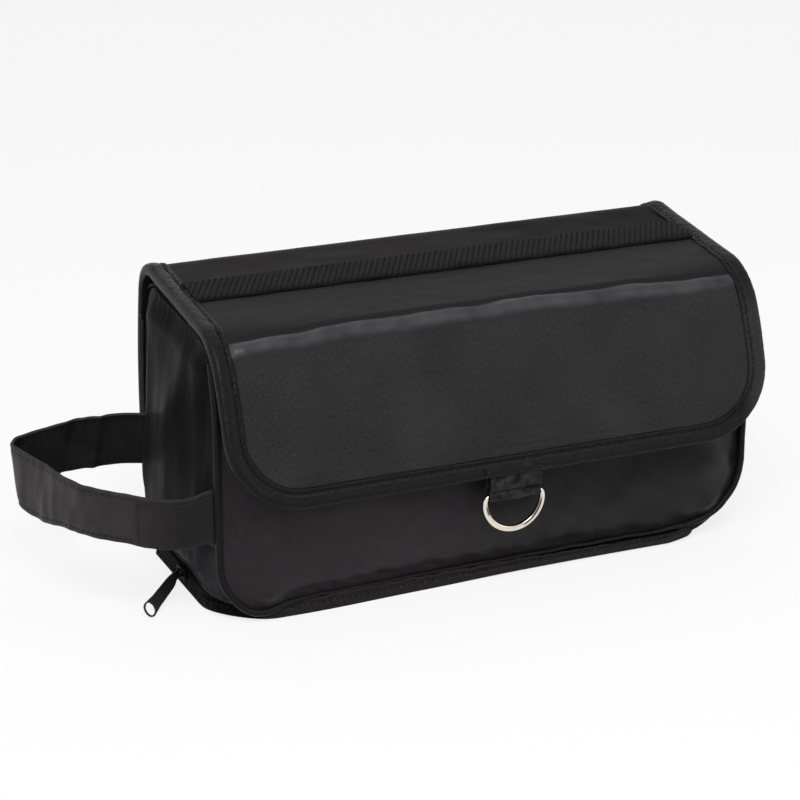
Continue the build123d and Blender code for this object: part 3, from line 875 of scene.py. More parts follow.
def bind_edge(name, row_name, edge, columns):
    """A tape folded over an edge of the sheet, and the stitches along its inner side."""
    shares = []

    def place(u, v):
        d = v * TAPE_ROUND
        inset, height = tape_section(d)
        spot = edge_spot(edge, u * edge.length, inset)
        # Painted light: the tape's right end below the crease is made much paler.
        tone_shift = 2.3 * smooth((spot.y - 132) / 12) * smooth((spot.x - CREASE_AT) / 25)
        painted_shade = 0.0
        if d < TAPE_WIDTH:
            height += tape_pucker(spot, inset)
            patchy = 0.7 + 0.6 * waves(spot.x / 5, spot.y / 5, 23)
            # Painted shade along the stitch line and at the tape's inner edge.
            painted_shade = 0.75 * bump(inset - TAPE_WIDTH + 2.8, 0.9) * patchy + 0.6 * bump(inset - TAPE_WIDTH, 0.6)
        shares.append(painted_shade - tone_shift * (1 - painted_shade))
        return on_sheet(spot.x, spot.y, height)

    def line(d):
        spot = edge_spot(edge, d, TAPE_WIDTH - STITCH_INSET)
        return on_sheet(spot.x, spot.y, 0.55), outward(spot.x, spot.y)

    strip = sewn(name, (columns, 36), place, (edge.length, TAPE_ROUND), tape, INSIDE,
                 TAPE_CLOTH, leg=TAPE_WIDTH, shares=shares)
    return strip, stitches(row_name, line, 1.0, edge.length - 1.0)


def make_bindings():
    """The tape round the flap, and the two tapes up the back and over the top."""
    end = FLAP_END + 0.3
    corners = [(SPLIT_AT, HALF, 0), (end, HALF, 0), (end, -HALF, 0), (SPLIT_AT, -HALF, 0)]
    edge = Route(rounded(corners, [FLAP_CORNER, FLAP_CORNER]))
    strip, row = bind_edge("flap_binding_tape", "flap_stitches", edge, 800)
    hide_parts("flap_binding")
    pieces = [("flap", strip), ("flap", row)]
    for side_name, sign in (("left", -1), ("right", 1)):
        edge = Route(rounded([(REAR_FOOT - 8, sign * HALF, 0), (SPLIT_AT, sign * HALF, 0)], []))
        strip, row = bind_edge(f"{side_name}_binding_tape", f"{side_name}_binding_stitches", edge, 300)
        if sign < 0:
            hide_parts("back_binding", "top_binding")
        pieces += [("back", strip), ("back", row)]
    return pieces


def make_webbing():
    """Ribbed webbing across the top, sewn down along both edges."""
    half = HALF - TAPE_WIDTH + 1.5
    width = WEB_FRONT - WEB_REAR
    shares = []

    def place(u, v):
        x = mix(-half, half, u)
        t = v - 0.5
        edge = smooth((0.5 - abs(t)) / 0.06)
        rib = abs(sin(pi * ((x + t * width / 9 * 5.0) / RIB_PITCH))) ** 0.7
        drift = 0.5 * waves(x / 33, 0, 31) + 0.25 * waves(x / 8, v * 2, 32)
        s = mix(WEB_REAR, WEB_FRONT, v) + drift
        seam = 0.35 * bump(abs(t) * width - width / 2 + STITCH_INSET, 0.9)
        height = 0.1 + 0.6 * edge + 1.2 * edge * rib - seam + 0.25 * waves(x / 20, v, 33)
        # Painted shade in the grooves between ribs and along the edges, with random tone.
        shares.append(0.85 * (1 - rib) ** 1.2 + 0.5 * (1 - edge) + 0.3 * waves(x / 9, v * 3, 34))
        return on_sheet(s, x, height)

    band = sewn("top_webbing", (900, 26), place, (2 * half, width), web, INSIDE, 0.9,
                shares=shares)
    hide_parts("webbing")
    pieces = [band]
    for name, s in (("rear", WEB_REAR + STITCH_INSET), ("front", WEB_FRONT - STITCH_INSET)):

        def line(d, s=s):
            x = d - half
            return on_sheet(s + 0.5 * waves(x / 33, 0, 31), x, 1.35), outward(s)

        pieces.append(stitches(f"webbing_{name}_stitches", line, 2.0, 2 * half - 2.0))
    return pieces


def pouch_face(z):
    """How far forward the flat of the pouch's front stands at a height, behind the closed flap."""
    if z < FLAP_TIP[1]:
        return FLAP_TIP[0] + POUCH_INSET
    t = (CREASE[1] - z) / (CREASE[1] - FLAP_TIP[1])
    lean = mix(CREASE[0], FLAP_TIP[0], t) - FLAP_BULGE * 4 * t * (1 - t)
    return lean + POUCH_INSET + 0.5


def front_bulge(x, z):
    """The stuffed front, which swells out of its seams."""
    corner = PANEL_CORNER[1 if x > 0 else -1]
    inner = max(WALL - abs(x), 0.01)
    rise = max(z - POUCH_HEM, 0.01)
    dx, dz = corner - inner, corner - rise
    rim = corner - hypot(dx, dz) if dx > 0 and dz > 0 else corner - max(dx, dz)
    depth = inner * rise / hypot(inner, rise)
    full = sin(pi / 2 * min(depth / 48, 1.0)) * smooth((rim + 1) / 12)
    folds = 2.3 * waves(x / 48 + z / 70, z / 30, 41) + 1.3 * waves(x / 17 + z / 36, z / 18, 42)
    slant = 2.1 * waves((x + z) / 13, (x - z) / 46, 45) * bump(rim, 26)
    slack = 1.5 * waves(x / 9 + z / 24, z / 34, 43) * bump(rise, 14)
    slack += 0.9 * waves(x / 3.8, z / 20, 44) * bump(rise, 6)
    side_slack = 0.9 * waves(z / 6, x / 26, 46) * bump(inner, 12)
    return BULGE * full + (folds * full + slant + slack + side_slack) * smooth(rim / 7)


def make_front_panel():
    """The pouch's front, which turns back behind the flap at its top."""
    top = CREASE[1] - POUCH_INSET
    tall = top - POUCH_HEM
    shares = []

    def place(u, v):
        d = v * (tall + TURNED_BACK)
        z = min(POUCH_HEM + d, top)
        rise = z - POUCH_HEM
        back = max(d - tall, 0.0)
        left, right = (WALL - corner_cut(rise, PANEL_CORNER[sign]) for sign in (-1, 1))
        x = mix(-left, right, u)
        bow = front_bow(x) * bump(rise, 25)
        hang = overhang(x, z)
        scuff = 0.16 * waves(x / 15 + z / 30, z / 13, 47) + 0.10 * waves(x / 5 + z / 12, z / 9, 48)
        # Painted shade: darker towards the right and up under the flap, and a dark line along the bottom
        # seam; the scuffs are random tone.
        shade = 0.85 * smooth((x + 110) / 180) - 0.30 + 0.30 * smooth((z - 34) / 40)
        shares.append(shade + scuff + 0.5 * bump(rise, 1.2))
        y = max(POUCH_FRONT - front_bulge(x, z) - bow - 0.8 * hang, pouch_face(z))
        round_top = 3.0 * bump(d - tall, 5)
        return Vector((x, y + back + 0.3 * round_top, z - hang - round_top * 0.6 + back * 0.11))

    panel = sewn("pouch_front", (260, 150), place, (2 * WALL, 160), [front_cloth, lining],
                 INSIDE, WALL_CLOTH, lined=True, shares=shares)
    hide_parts("front_panel", "front_lining")
    return panel


def make_piping():
    """The corded seam round the pouch's front, which thins out along the bottom."""
    foot = POUCH_HEM + CORD
    front = POUCH_FRONT - 1.0
    lean = pouch_face(PIPING_TOP) + 1.5
    corners = [
        (-WALL, lean, PIPING_TOP), (-WALL, front, PIPING_BEND), (-WALL, front, foot),
        (WALL, front, foot), (WALL, front, PIPING_BEND), (WALL, lean, PIPING_TOP),
    ]
    radii = [PIPING_BEND_RADIUS, PANEL_CORNER[-1], PANEL_CORNER[1], PIPING_BEND_RADIUS]
    route = Route(rounded(corners, radii))

    def place(u, v):
        d = u * route.length
        centre = route.at(d)
        along = route.direction(d)
        out = Vector((0, -1, 0))
        across = along.cross(out).normalized()
        out = across.cross(along)
        angle = 2 * pi * v
        end = smooth((abs(centre.x) - 92) / 34)
        low = bump(centre.z - foot, 20)
        size = CORD * (1 + 0.07 * waves(d / 4, 0, 51)) * mix(0.5, 1.0, end)
        sag = Vector((0, -front_bow(centre.x) * low, -(1 - end) * (1.3 + 0.5 * waves(d / 11, 0, 53))))
        hang = overhang(centre.x, centre.z)
        sag -= Vector((0, 0.8 * hang, hang))
        wander = Vector((0, 0.5 * waves(d / 16, 1, 52), 0.4 * waves(d / 7, 2, 54) * low))
        return centre + sag + wander + across * cos(angle) * size + out * sin(angle) * size

    cord = sewn("piping", (560, 14), place, (route.length, 2 * pi * CORD), tape)
    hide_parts("front_piping")
    return cord


def top_at(y):
    """The height of the sheet's outer face on the top."""
    slope = (HEIGHT - CREASE[1]) / (BACK - CREASE[0])
    return CREASE[1] + slope * (y - CREASE[0])


def gusset_point(u, v, sign):
    """A point of a side gusset: u from its front seam to the rear, v from the zip up."""
    top = top_at(mix(-44, BACK - 10, u)) - GUSSET_BELOW_TOP
    from_rear = (1 - u) * GUSSET_REACH
    top -= corner_cut(from_rear, GUSSET_CORNER)
    foot = mix(POUCH_HEM + 1, GUSSET_FOOT, smooth(u / 0.3)) + 0.8 * waves(u * 9, 0, 61)
    foot += corner_cut(from_rear, GUSSET_FOOT_CORNER)
    z = mix(foot, top, v)
    turn = corner_cut(z - POUCH_HEM, PANEL_CORNER[sign])
    front = max(POUCH_FRONT, pouch_face(z))
    rear = BACK + back_bow(z) - GUSSET_BEFORE_BACK
    arc = turn * pi / 2
    d = u * (arc + rear - front - turn)
    if d < arc:
        angle = d / turn
        x, y = WALL - turn + turn * sin(angle), front + turn - turn * cos(angle)
        out = Vector((sin(angle), -cos(angle), 0))
    else:
        x, y = WALL, front + turn + d - arc
        out = Vector((1, 0, 0))
    rim = min(u, 1 - u) * GUSSET_REACH
    rise = z - foot
    rim_reach = mix(26, 15, smooth(u * 1.5))
    swollen = mix(4.0, mix(8.5, 4.5, smooth((z - 60) / 70)), smooth(u * 1.6))
    pillow = swollen * smooth(rim / rim_reach) * smooth(rise / 16 + 0.2) * smooth((top - z) / 16)
    slant = y + 0.16 * z
    folds = 4.6 * waves(slant / 34, z / 46, 62 + sign) + 0.7 * waves(slant / 14, z / 30, 64 + sign)
    folds += 0.10 * waves(slant / 5, z / 30, 69 + sign)
    tight = 0.35 * waves(y / 3.4, z / 20, 68) * (bump(rise, 16) + bump(top - z, 10))
    gather = 0.6 * waves(d / 2.2, z / 12, 66) * bump(rise, 9.0) + 0.4 * waves(y / 9, z / 3, 67) * bump(rim, 6)
    seam = -0.8 * bump(rise - 3.0, 0.9)
    swell_out = pillow + (folds * smooth(rim / 14) + gather + tight) * smooth(rim / 3) + seam
    swell_out += 0.9 * bump(rise, 5.0)
    lift = corner_lift(x * sign, y) * bump(rise, 30)
    lift -= overhang(x * sign, z) * bump(u, 0.25)
    spot = Vector((x, y, z + lift)) + out * swell_out
    return Vector((sign * spot.x, spot.y, spot.z))


def make_gusset(sign):
    """A side gusset, pillowed between its seams, and the stitches along its foot."""
    name = "left" if sign < 0 else "right"
    shares = []

    def place(u, v):
        point = gusset_point(u, v, sign)
        # Painted light: much paler at the low front. The share also darkens the gusset towards its top.
        low_front = smooth((50 - point.z) / 22) * smooth((0.75 - u) / 0.35)
        patchy = 1 + 0.35 * waves(point.y / 9, point.z / 12, 70)
        shares.append(0.5 * smooth((point.z - 90) / 35) - 2.3 * low_front * patchy)
        return point

    def line(d):
        u = d / GUSSET_REACH
        before, point, after = (gusset_point(u + step, GUSSET_SEAM, sign) for step in (-0.01, 0, 0.01))
        along = after - before
        out = Vector((along.y, -along.x, 0)).normalized() * sign
        return point + out * 0.15, out

    wall = sewn(f"{name}_gusset_wall", (150, 170), place, (GUSSET_REACH, 130), [nylon, lining],
                INSIDE, WALL_CLOTH, lined=True, shares=shares)
    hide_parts(f"gusset_{name}")
    if sign < 0:
        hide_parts("gusset_lining")
    return wall, stitches(f"{name}_gusset_stitches", line, 4.0, 98.0)


def make_pouch_top():
    """The cloth that closes the pouch under the top panel."""

    def place(u, v):
        x = mix(-WALL, WALL, u)
        y = mix(COVER_FRONT, COVER_REAR, v)
        z = top_at(y) - 6.2 - 0.5 * abs(waves(x / 40, y / 20, 71))
        drop = max(y - COVER_DROP, 0.0)
        return Vector((x, y, z - drop * drop / 26))

    cover = sewn("pouch_top", (90, 30), place, (2 * WALL, 74), lining, INSIDE, 0.8)
    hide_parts("gusset_top")
    return cover


def make_base_hem():
    """The gathered tape round the base: tall across the front, low along the sides."""
    half, front_edge, rear = HALF + 0.4, BASE_FRONT - 0.6, 46
    corners = [(-half, rear, 0), (-half, front_edge, 0), (half, front_edge, 0), (half, rear, 0)]
    route = Route([
        p + Vector((0, -front_bow(p.x) * smooth((-p.y - 22) / 26), corner_lift(p.x, p.y)))
        for p in rounded(corners, [BASE_CORNER[-1], BASE_CORNER[1]])
    ])

    def edge_at(d):
        """A point of the base's edge, its outward side, and how far it belongs to the tall front."""
        point = route.at(d)
        along = route.direction(d)
        out = Vector((along.y, -along.x, 0)).normalized()
        return point, out, smooth((BASE_FRONT + BASE_CORNER[-1] + 8 - point.y) / 12)

    def place(u, v):
        d = u * route.length
        point, out, front = edge_at(d)
        tall = mix(4.2, mix(7.6, 4.8, smooth((point.x + 60) / 150)), front)
        tall += 0.8 * waves(d / 7, 0, 81) * (0.3 + front)
        ruffle = (0.9 * waves(d / 2.2, v * 0.9, 82) + 0.8 * waves(d / 8, v, 83)) * sin(pi * min(v * 1.2, 1.0))
        seam = -0.7 * bump(v - 0.66, 0.10)
        tucked = smooth((point.x - 116) / 9)
        tall *= 1 - 0.65 * tucked
        lean = mix(0.6, -0.9, v) + 0.5 * sin(pi * v) - 3.5 * tucked
        return point + out * (lean + ruffle * (0.35 + 0.65 * front) + seam) + Vector((0, 0, v * tall + 0.15))

    def line(d):
        point, out, front = edge_at(d)
        return point + out * 0.45 + Vector((0, 0, 0.66 * mix(4.6, 7.4, front))), out

    hem = sewn("base_hem", (900, 16), place, (route.length, 8), [hem_tape, shaded_hem_tape],
               INSIDE, 1.0)
    # The rear and far-left runs take the darker copy of the tape: painted shade.
    for face in hem.data.polygons:
        if face.center.y > SHADED_HEM_REAR * MM or face.center.x < SHADED_HEM_LEFT * MM:
            face.material_index = 1
    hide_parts("base_binding")
    return hem, stitches("base_hem_stitches", line, 6.0, route.length - 6.0)


def zip_line():
    """The zip's route: down the left rear edge, round the base, and up the right rear edge."""
    rear = BACK - CHAIN
    corners = [
        (-WALL, rear, ZIP_TOP), (-WALL, rear, CHAIN), (-WALL, CHAIN_FRONT, CHAIN),
        (WALL, CHAIN_FRONT, CHAIN), (WALL, rear, CHAIN), (WALL, rear, ZIP_TOP),
    ]
    points = rounded(corners, [CHAIN_BEND, CHAIN_CORNER, CHAIN_CORNER, CHAIN_BEND])
    for point in points:
        if point.y > rear - 5:
            point.y += back_bow(point.z) * smooth((point.y - rear + 5) / 5)
        point.z += 0.9 * corner_lift(point.x, point.y)
    return Route(points)


zip_route = zip_line()


def zip_frame(d):
    """The zip's point, its direction, its outward side and the side towards the pouch."""
    point = zip_route.at(d)
    along = zip_route.direction(d)
    cx = WALL - CHAIN_CORNER
    cy = CHAIN_FRONT + CHAIN_CORNER
    dx = max(abs(point.x) - cx, 0.0) * (1 if point.x > 0 else -1)
    dy = min(point.y - cy, 0.0)
    out = Vector((dx, dy, 0)).normalized()
    return point, along, out, out.cross(along).normalized()


def make_zip_half(upper):
    """One side of the zip: a tape and a row of coil turns that reach into the other row."""
    label, sign = ("upper", 1) if upper else ("lower", -1)

    def place(u, v):
        d = u * zip_route.length
        point, _, out, across = zip_frame(d)
        rib = 0.06 * sin(2 * pi * d / 1.3)
        return point + across * sign * mix(*ZIP_TAPE, v) + out * (0.1 + rib)

    ribbon = sewn(f"{label}_zip_tape", (900, 5), place, (zip_route.length, 3.5), zip_cloth,
                  INSIDE, 0.5)
    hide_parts(f"zip_tape_{label}")
    bpy.ops.mesh.primitive_uv_sphere_add(segments=8, ring_count=6, radius=0.5)
    tooth = bpy.context.object
    for vertex in tooth.data.vertices:
        x, y, z = vertex.co
        head = 1.0 + 0.35 * smooth((z - 0.1) / 0.3)
        vertex.co = Vector((x * TOOTH_WIDTH * head, z * TOOTH_REACH, y * TOOTH_HEIGHT))
    count = int(zip_route.length / TOOTH_PITCH)
    places = []
    for i in range(count):
        d = (i + (0.5 if upper else 0.0)) * zip_route.length / count
        point, along, out, across = zip_frame(d)
        reach = across * sign
        places.append(axes(point + reach * 1.15 + out * 0.85, along, -reach, out))
    coil = finish(copies(tooth, places), f"{label}_zip_coil", coil_nylon)
    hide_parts(f"zip_coil_{label}")
    return [ribbon, coil]


def patch(name, centre, inset, sign):
    """A patch of hook or loop pile that follows the flap's line."""

    def place(u, v):
        x = centre + mix(-PATCH_HALF, PATCH_HALF, u)
        z = mix(PATCH_FOOT, PATCH_TOP, v)
        pad = smooth(min(u, 1 - u) / 0.03) * smooth(min(v, 1 - v) / 0.08)
        rough = 0.15 * waves(x * 1.3, z * 1.3, 91)
        return Vector((x, pouch_face(z) - POUCH_INSET + inset + sign * (0.9 * pad + rough), z))

    size = (2 * PATCH_HALF, PATCH_TOP - PATCH_FOOT)
    inside = (centre, 0 if sign < 0 else -200, (PATCH_FOOT + PATCH_TOP) / 2)
    return sewn(name, (60, 24), place, size, pile, inside, 0.5)


def block(low, high, bevel):
    """A box with rounded edges."""
    bpy.ops.mesh.primitive_cube_add(size=1)
    piece = bpy.context.object
    for vertex in piece.data.vertices:
        vertex.co = Vector([mix(low[i], high[i], vertex.co[i] + 0.5) for i in range(3)]) * MM
    edge = piece.modifiers.new("edge", "BEVEL")
    edge.width = bevel * MM
    edge.segments = 3
    edge.limit_method = "NONE"
    apply_modifiers(piece)
    select(piece)
    bpy.ops.object.shade_smooth_by_angle(angle=radians(40))
    return piece


def joined(pieces):
    """One piece from several, which keeps the last one's place."""
    select(*pieces)
    bpy.ops.object.join()
    return bpy.context.object


def make_tab():
    """The cloth tab that holds the ring, folded round its bar and sewn behind the flap's edge."""
    low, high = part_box("ring_tab")
    x0, x1 = low.x / MM - TAB_WIDER, high.x / MM + TAB_WIDER
    front, rear, foot = BAR_Y - TAB_FOLD, BAR_Y + TAB_FOLD, BAR_Z - TAB_BELOW_BAR
    corners = [(0, front, TAB_FRONT_TOP), (0, front, foot), (0, rear, foot), (0, rear, TAB_REAR_TOP)]
    curve = Route(rounded(corners, [TAB_CORNER, TAB_CORNER]))
    shares, tack_shares = [], []

    def place(u, v):
        d = v * curve.length
        point = curve.at(d)
        along = curve.direction(d)
        x = mix(x0, x1, u) + 0.5 * waves(d / 5, 0, 103)
        crumple = 1.6 * waves(x / 6, d / 7, 101) + 1.2 * waves(x / 2.6, d / 3.5, 102)
        over_seam = point.z - BAR_Z - TAB_SEAM
        seam = -0.7 * bump(over_seam, 0.7) * (1 if point.y < BAR_Y else 0)
        lift = 1.05 + crumple * 0.3 + seam
        # Painted shade along the seam line; the blotches are random tone.
        blotch = 0.40 - 0.8 * waves(x / 5.5, d / 4.5, 107) - 0.4 * waves(x / 1.8, d / 1.6, 108)
        shares.append(blotch + 0.6 * bump(over_seam, 0.6))
        return Vector((x, point.y + along.z * lift, point.z - along.y * lift))

    def tack(u, v):
        """A point of the bar tack that covers the tab's end on the flap."""
        x = (x0 + x1) / 2 + mix(-TACK_HALF, TACK_HALF, u)
        inset = mix(5.4, -0.7, v)
        rim = min(min(u, 1 - u) * 2 * TACK_HALF, min(v, 1 - v) * 6.1)
        wave = 0.5 * waves(x / 4, v * 3, 105) + 0.3 * waves(x / 1.6, v * 2, 106)
        drop = 1.2 * smooth((v - 0.6) / 0.4)
        # Painted shade under the lower lip and along the left edge, with random tone.
        painted_shade = 0.95 * bump(v - 0.9, 0.12) + 0.7 * bump(u - 0.01, 0.015)
        tack_shares.append(painted_shade - 0.5 * waves(x / 4, v * 2, 109))
        return on_sheet(FLAP_END - inset, x, 1.0 + 1.1 * smooth(rim / 1.5) + wave * smooth(rim) - drop)

    tab = sewn("ring_tab_cloth", (60, 70), place, (x1 - x0, curve.length), tab_cloth,
               (0, BAR_Y, BAR_Z + 6), 0.8, shares=shares)
    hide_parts("ring_tab")
    strip = sewn("ring_tab_tack", (110, 24), tack, (2 * TACK_HALF, 6), tape, INSIDE, 0.6,
                 shares=tack_shares)
    return tab, strip


def make_ring():
    """The hanging ring: a cast D with a softly flattened bow."""
    low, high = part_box("d_ring")
    reach = (high.x - low.x) / 2 / MM - RING_WIRE
    cx = (high.x + low.x) / 2 / MM
    bow_z = BAR_Z - RING_SHOULDER
    end = cx + reach
    corner = rounded([(cx, BAR_Y, BAR_Z), (end, BAR_Y, BAR_Z), (end, BAR_Y, bow_z)], [BAR_CORNER], 0.4)
    angles = [pi * i / 90 for i in range(1, 90)]
    arc = [Vector((cx + reach * cos(angle), BAR_Y, bow_z - reach * sin(angle))) for angle in angles]
    other = [Vector((2 * cx - p.x, p.y, p.z)) for p in reversed(corner)]
    loop = Route(corner + arc + other)
    shares = []

    def place(u, v):
        d = u * loop.length
        centre = loop.at(d)
        along = loop.direction(d)
        out = Vector((0, -1, 0))
        across = along.cross(out).normalized()
        angle = 2 * pi * v
        bow = smooth((bow_z + 1 - centre.z) / 5)
        wide = mix(1.3, 1.6, bow)
        deep = mix(1.3, 1.25, bow)
        c, s = cos(angle), sin(angle)
        shape = (abs(c) ** 3.4 + abs(s) ** 3.4) ** (-1 / 3.4)
        groove = 1 - 0.16 * bow * bump(angle - pi / 2 - 0.35, 0.3)
        side_share = (centre.x - cx) / reach
        # Painted reflections: dark lines along the bow's ends and a darker inner edge, where the cloth would
        # be mirrored in the metal.
        line = 1.0 * bump(angle - 1.5 + 0.4 * side_share, 0.3) * smooth((side_share - 0.25) / 0.2)
        line += 1.0 * bump(angle - 1.2, 0.3) * smooth((-side_share - 0.88) / 0.05)
        inner = 0.85 * bump(angle, 0.85) + 0.85 * bump(angle - 2 * pi, 0.85)
        shares.append((line + inner) * bow)
        return centre + across * c * shape * wide * 0.94 * groove + out * s * shape * deep * groove

    ring = sewn("hanging_ring", (260, 36), place, (loop.length, 10), nickel, shares=shares)
    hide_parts("d_ring")
    return ring


def make_strap():
    """The strap loop, a flat tube of cloth sewn along both edges, with a doubled front end."""
    route = Route(rounded([(x, y, 0) for x, y in STRAP_ROUTE], STRAP_RADII))
    shares, double_shares = [], []

    def surface(d, w):
        """A point of the strap: d along it, w from -1 at its lower edge to 1, and its normal."""
        point = route.at(d)
        along = route.direction(d, 2.0)
        out = Vector((-along.y, along.x, 0))
        t = d / route.length
        tilt = 0.10 * sin(pi * t) - 0.05
        centre = mix(STRAP_FRONT_HEIGHT, STRAP_REAR_HEIGHT, t)
        half = mix(STRAP_WIDTH["front"], STRAP_WIDTH["rear"], t) / 2
        centre += 4.6 * bump(d, 10) + 0.8 * bump(d, 6) * w - 5.5 * bump(t - 0.56, 0.13) * (1 - w) / 2
        centre += 1.2 * bump(t - 0.75, 0.08) * (1 - w) / 2
        loose = smooth(t * 6) * smooth((1 - t) * 6)
        wave = (1.3 * waves(d / 17, w * 0.8, 111) + 0.6 * waves(d / 6 + w, w * 0.7, 113)) * loose
        crease = -1.5 * bump(t - 0.86 - 0.012 * w, 0.012) + 1.0 * bump(t - 0.79 - 0.02 * w, 0.015)
        slant = -STRAP_SLANT / 2 * (1 - w) * bump(t - 0.54, 0.15)
        spot = Vector((point.x, point.y + slant, centre + w * half)) + out * (wave + crease + tilt * w * half)
        return spot, out

    def place(u, v):
        d = u * route.length
        face = 1 if v < 0.5 else -1
        w = mix(-face, face, v * 2 if v < 0.5 else v * 2 - 1)
        spot, out = surface(d, w)
        edge = smooth((1 - abs(w)) / 0.10)
        rim = (1 - abs(w)) * STRAP_RIM
        scuff = 0.20 * waves(d / 9, w * 1.5, 114) + 0.14 * waves(d / 3, w * 4, 115)
        # Painted shade along the stitch lines and at the very edges; the scuffs are random tone.
        shares.append(scuff + 0.42 * bump(rim - STITCH_INSET, 0.9) + 0.20 * smooth((1.2 - rim) / 1.2) - 0.03)
        seam = 0.45 * bump(rim - STITCH_INSET, 0.8)
        pucker = 0.25 * waves(d / 3.0, w, 112) * bump(rim - STITCH_INSET, 3.0)
        return spot + out * face * (0.15 + 0.85 * edge - seam + pucker)

    def double(u, v):
        """A point of the second layer on the strap's front end."""
        d = u * STRAP_DOUBLING
        w = mix(-0.97, 0.97, v)
        left = STRAP_DOUBLING - d
        scuff = 0.24 * waves(d / 6, w * 2, 116) + 0.2 * waves(d / 2.5, w * 5, 117)
        # Darker away from the doubling's free end, with painted shade along the stitch line near it.
        tone_shift = 0.30 + 0.42 * smooth((left - 0.5) / 26)
        double_shares.append(tone_shift + scuff * (1 - tone_shift) + 0.3 * bump(left - 2.8, 0.7))
        spot, out = surface(d, w)
        rim = min(left, (1 - abs(w)) * STRAP_RIM)
        return spot + out * (0.55 + 0.95 * smooth((rim + 0.5) / 1.6) - 0.35 * bump(rim - 2.8, 0.8))

    band = sewn("strap_loop", (330, 56), place, (route.length, 2 * STRAP_WIDTH["rear"]),
                [strap_cloth, strap_cloth_painted_shade], shares=shares)
    # The inner face takes the darker copy: painted shade.
    for face in band.data.polygons:
        if band.data.uv_layers[0].data[face.loop_start].uv[1] > STRAP_WIDTH["rear"] * MM:
            face.material_index = 1
    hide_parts("strap_handle")
    pieces = [band]
    for name, face in (("outer", 1), ("inner", -1)):
        for label, w in (("low", -STRAP_ROW), ("high", STRAP_ROW)):

            def line(d, w=w, face=face):
                spot, out = surface(d, w)
                return spot + out * face * 0.62, out * face

            row_name = f"strap_{name}_{label}_stitches"
            pieces.append(stitches(row_name, line, 3.0, route.length - 3.0))
    layer = sewn("strap_doubling", (60, 44), double, (STRAP_DOUBLING, STRAP_WIDTH["front"]), strap_cloth,
                 (0, 0, 60), 0.7, shares=double_shares)
    return [*pieces, layer]


def make_anchors():
    """The doubled ends of the strap, sewn flat on the gusset."""
    pieces = []
    ends = (("front", -47, -38, STRAP_FRONT_HEIGHT), ("rear", 38, 52, STRAP_REAR_HEIGHT))
    for name, y0, y1, middle in ends:

        def place(u, v, y0=y0, y1=y1, middle=middle):
            y = mix(y0, y1, u)
            z = middle + mix(-ANCHOR_HALF, ANCHOR_HALF, v)
            rim = min(min(u, 1 - u) * (y1 - y0), min(v, 1 - v) * 2 * ANCHOR_HALF)
            lift = 1.3 * smooth((rim + 0.4) / 1.6) - 0.4 * bump(rim - STITCH_INSET, 0.7)
            return Vector((-WALL - 0.6 - lift + 0.3 * waves(y / 6, z / 8, 121), y, z))

        pieces.append(sewn(f"strap_{name}_anchor", (40, 60), place, (y1 - y0, 2 * ANCHOR_HALF), strap_cloth,
                           (0, (y0 + y1) / 2, middle), 1.0))
    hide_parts("strap_anchors")
    return pieces


def make_slider():
    """The zip's slider: two plates, a neck and an arch for the pull."""
    low, high = (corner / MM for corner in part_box("zip_slider"))
    face, rear = low.x + SLIDER_ARCH, high.x
    y0, y1 = low.y, high.y
    z0, z1 = low.z, high.z
    plates = [
        block((face, y0, z0), (face + SLIDER_PLATE, y1, z1), 0.55),
        block((rear - SLIDER_PLATE, y0, z0), (rear, y1, z1), 0.5),
    ]
    neck = block((face + 1, y0 + 1.2, CHAIN - 0.5), (rear - 1, y0 + 5, CHAIN + 0.5), 0.2)
    for plate in plates:
        for vertex in plate.data.vertices:
            t = (vertex.co.y / MM - y0) / (y1 - y0)
            narrow = 1.0 - 0.28 * smooth((t - 0.35) / 0.65)
            vertex.co.z = (CHAIN + (vertex.co.z / MM - CHAIN) * narrow) * MM
    front, back = (y0 + y1) / 2 - ARCH_HALF, (y0 + y1) / 2 + ARCH_HALF
    foot, top = face + 0.4, low.x + 0.6
    corners = [(foot, front, CHAIN), (top, front, CHAIN), (top, back, CHAIN), (foot, back, CHAIN)]
    arch = Route(rounded(corners, [1.9, 1.9], 0.3))

    def place(u, v):
        d = u * arch.length
        centre = arch.at(d)
        along = arch.direction(d, 0.3)
        up = Vector((0, 0, 1))
        across = along.cross(up).normalized()
        angle = 2 * pi * v
        return centre + across * cos(angle) * 0.6 + up * sin(angle) * 1.15

    loop = cloth(50, 14, place, (arch.length, 6))
    close_tube(loop)
    slider = finish(joined([*plates, neck, loop]), "slider", slider_paint)
    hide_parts("zip_slider")
    return slider


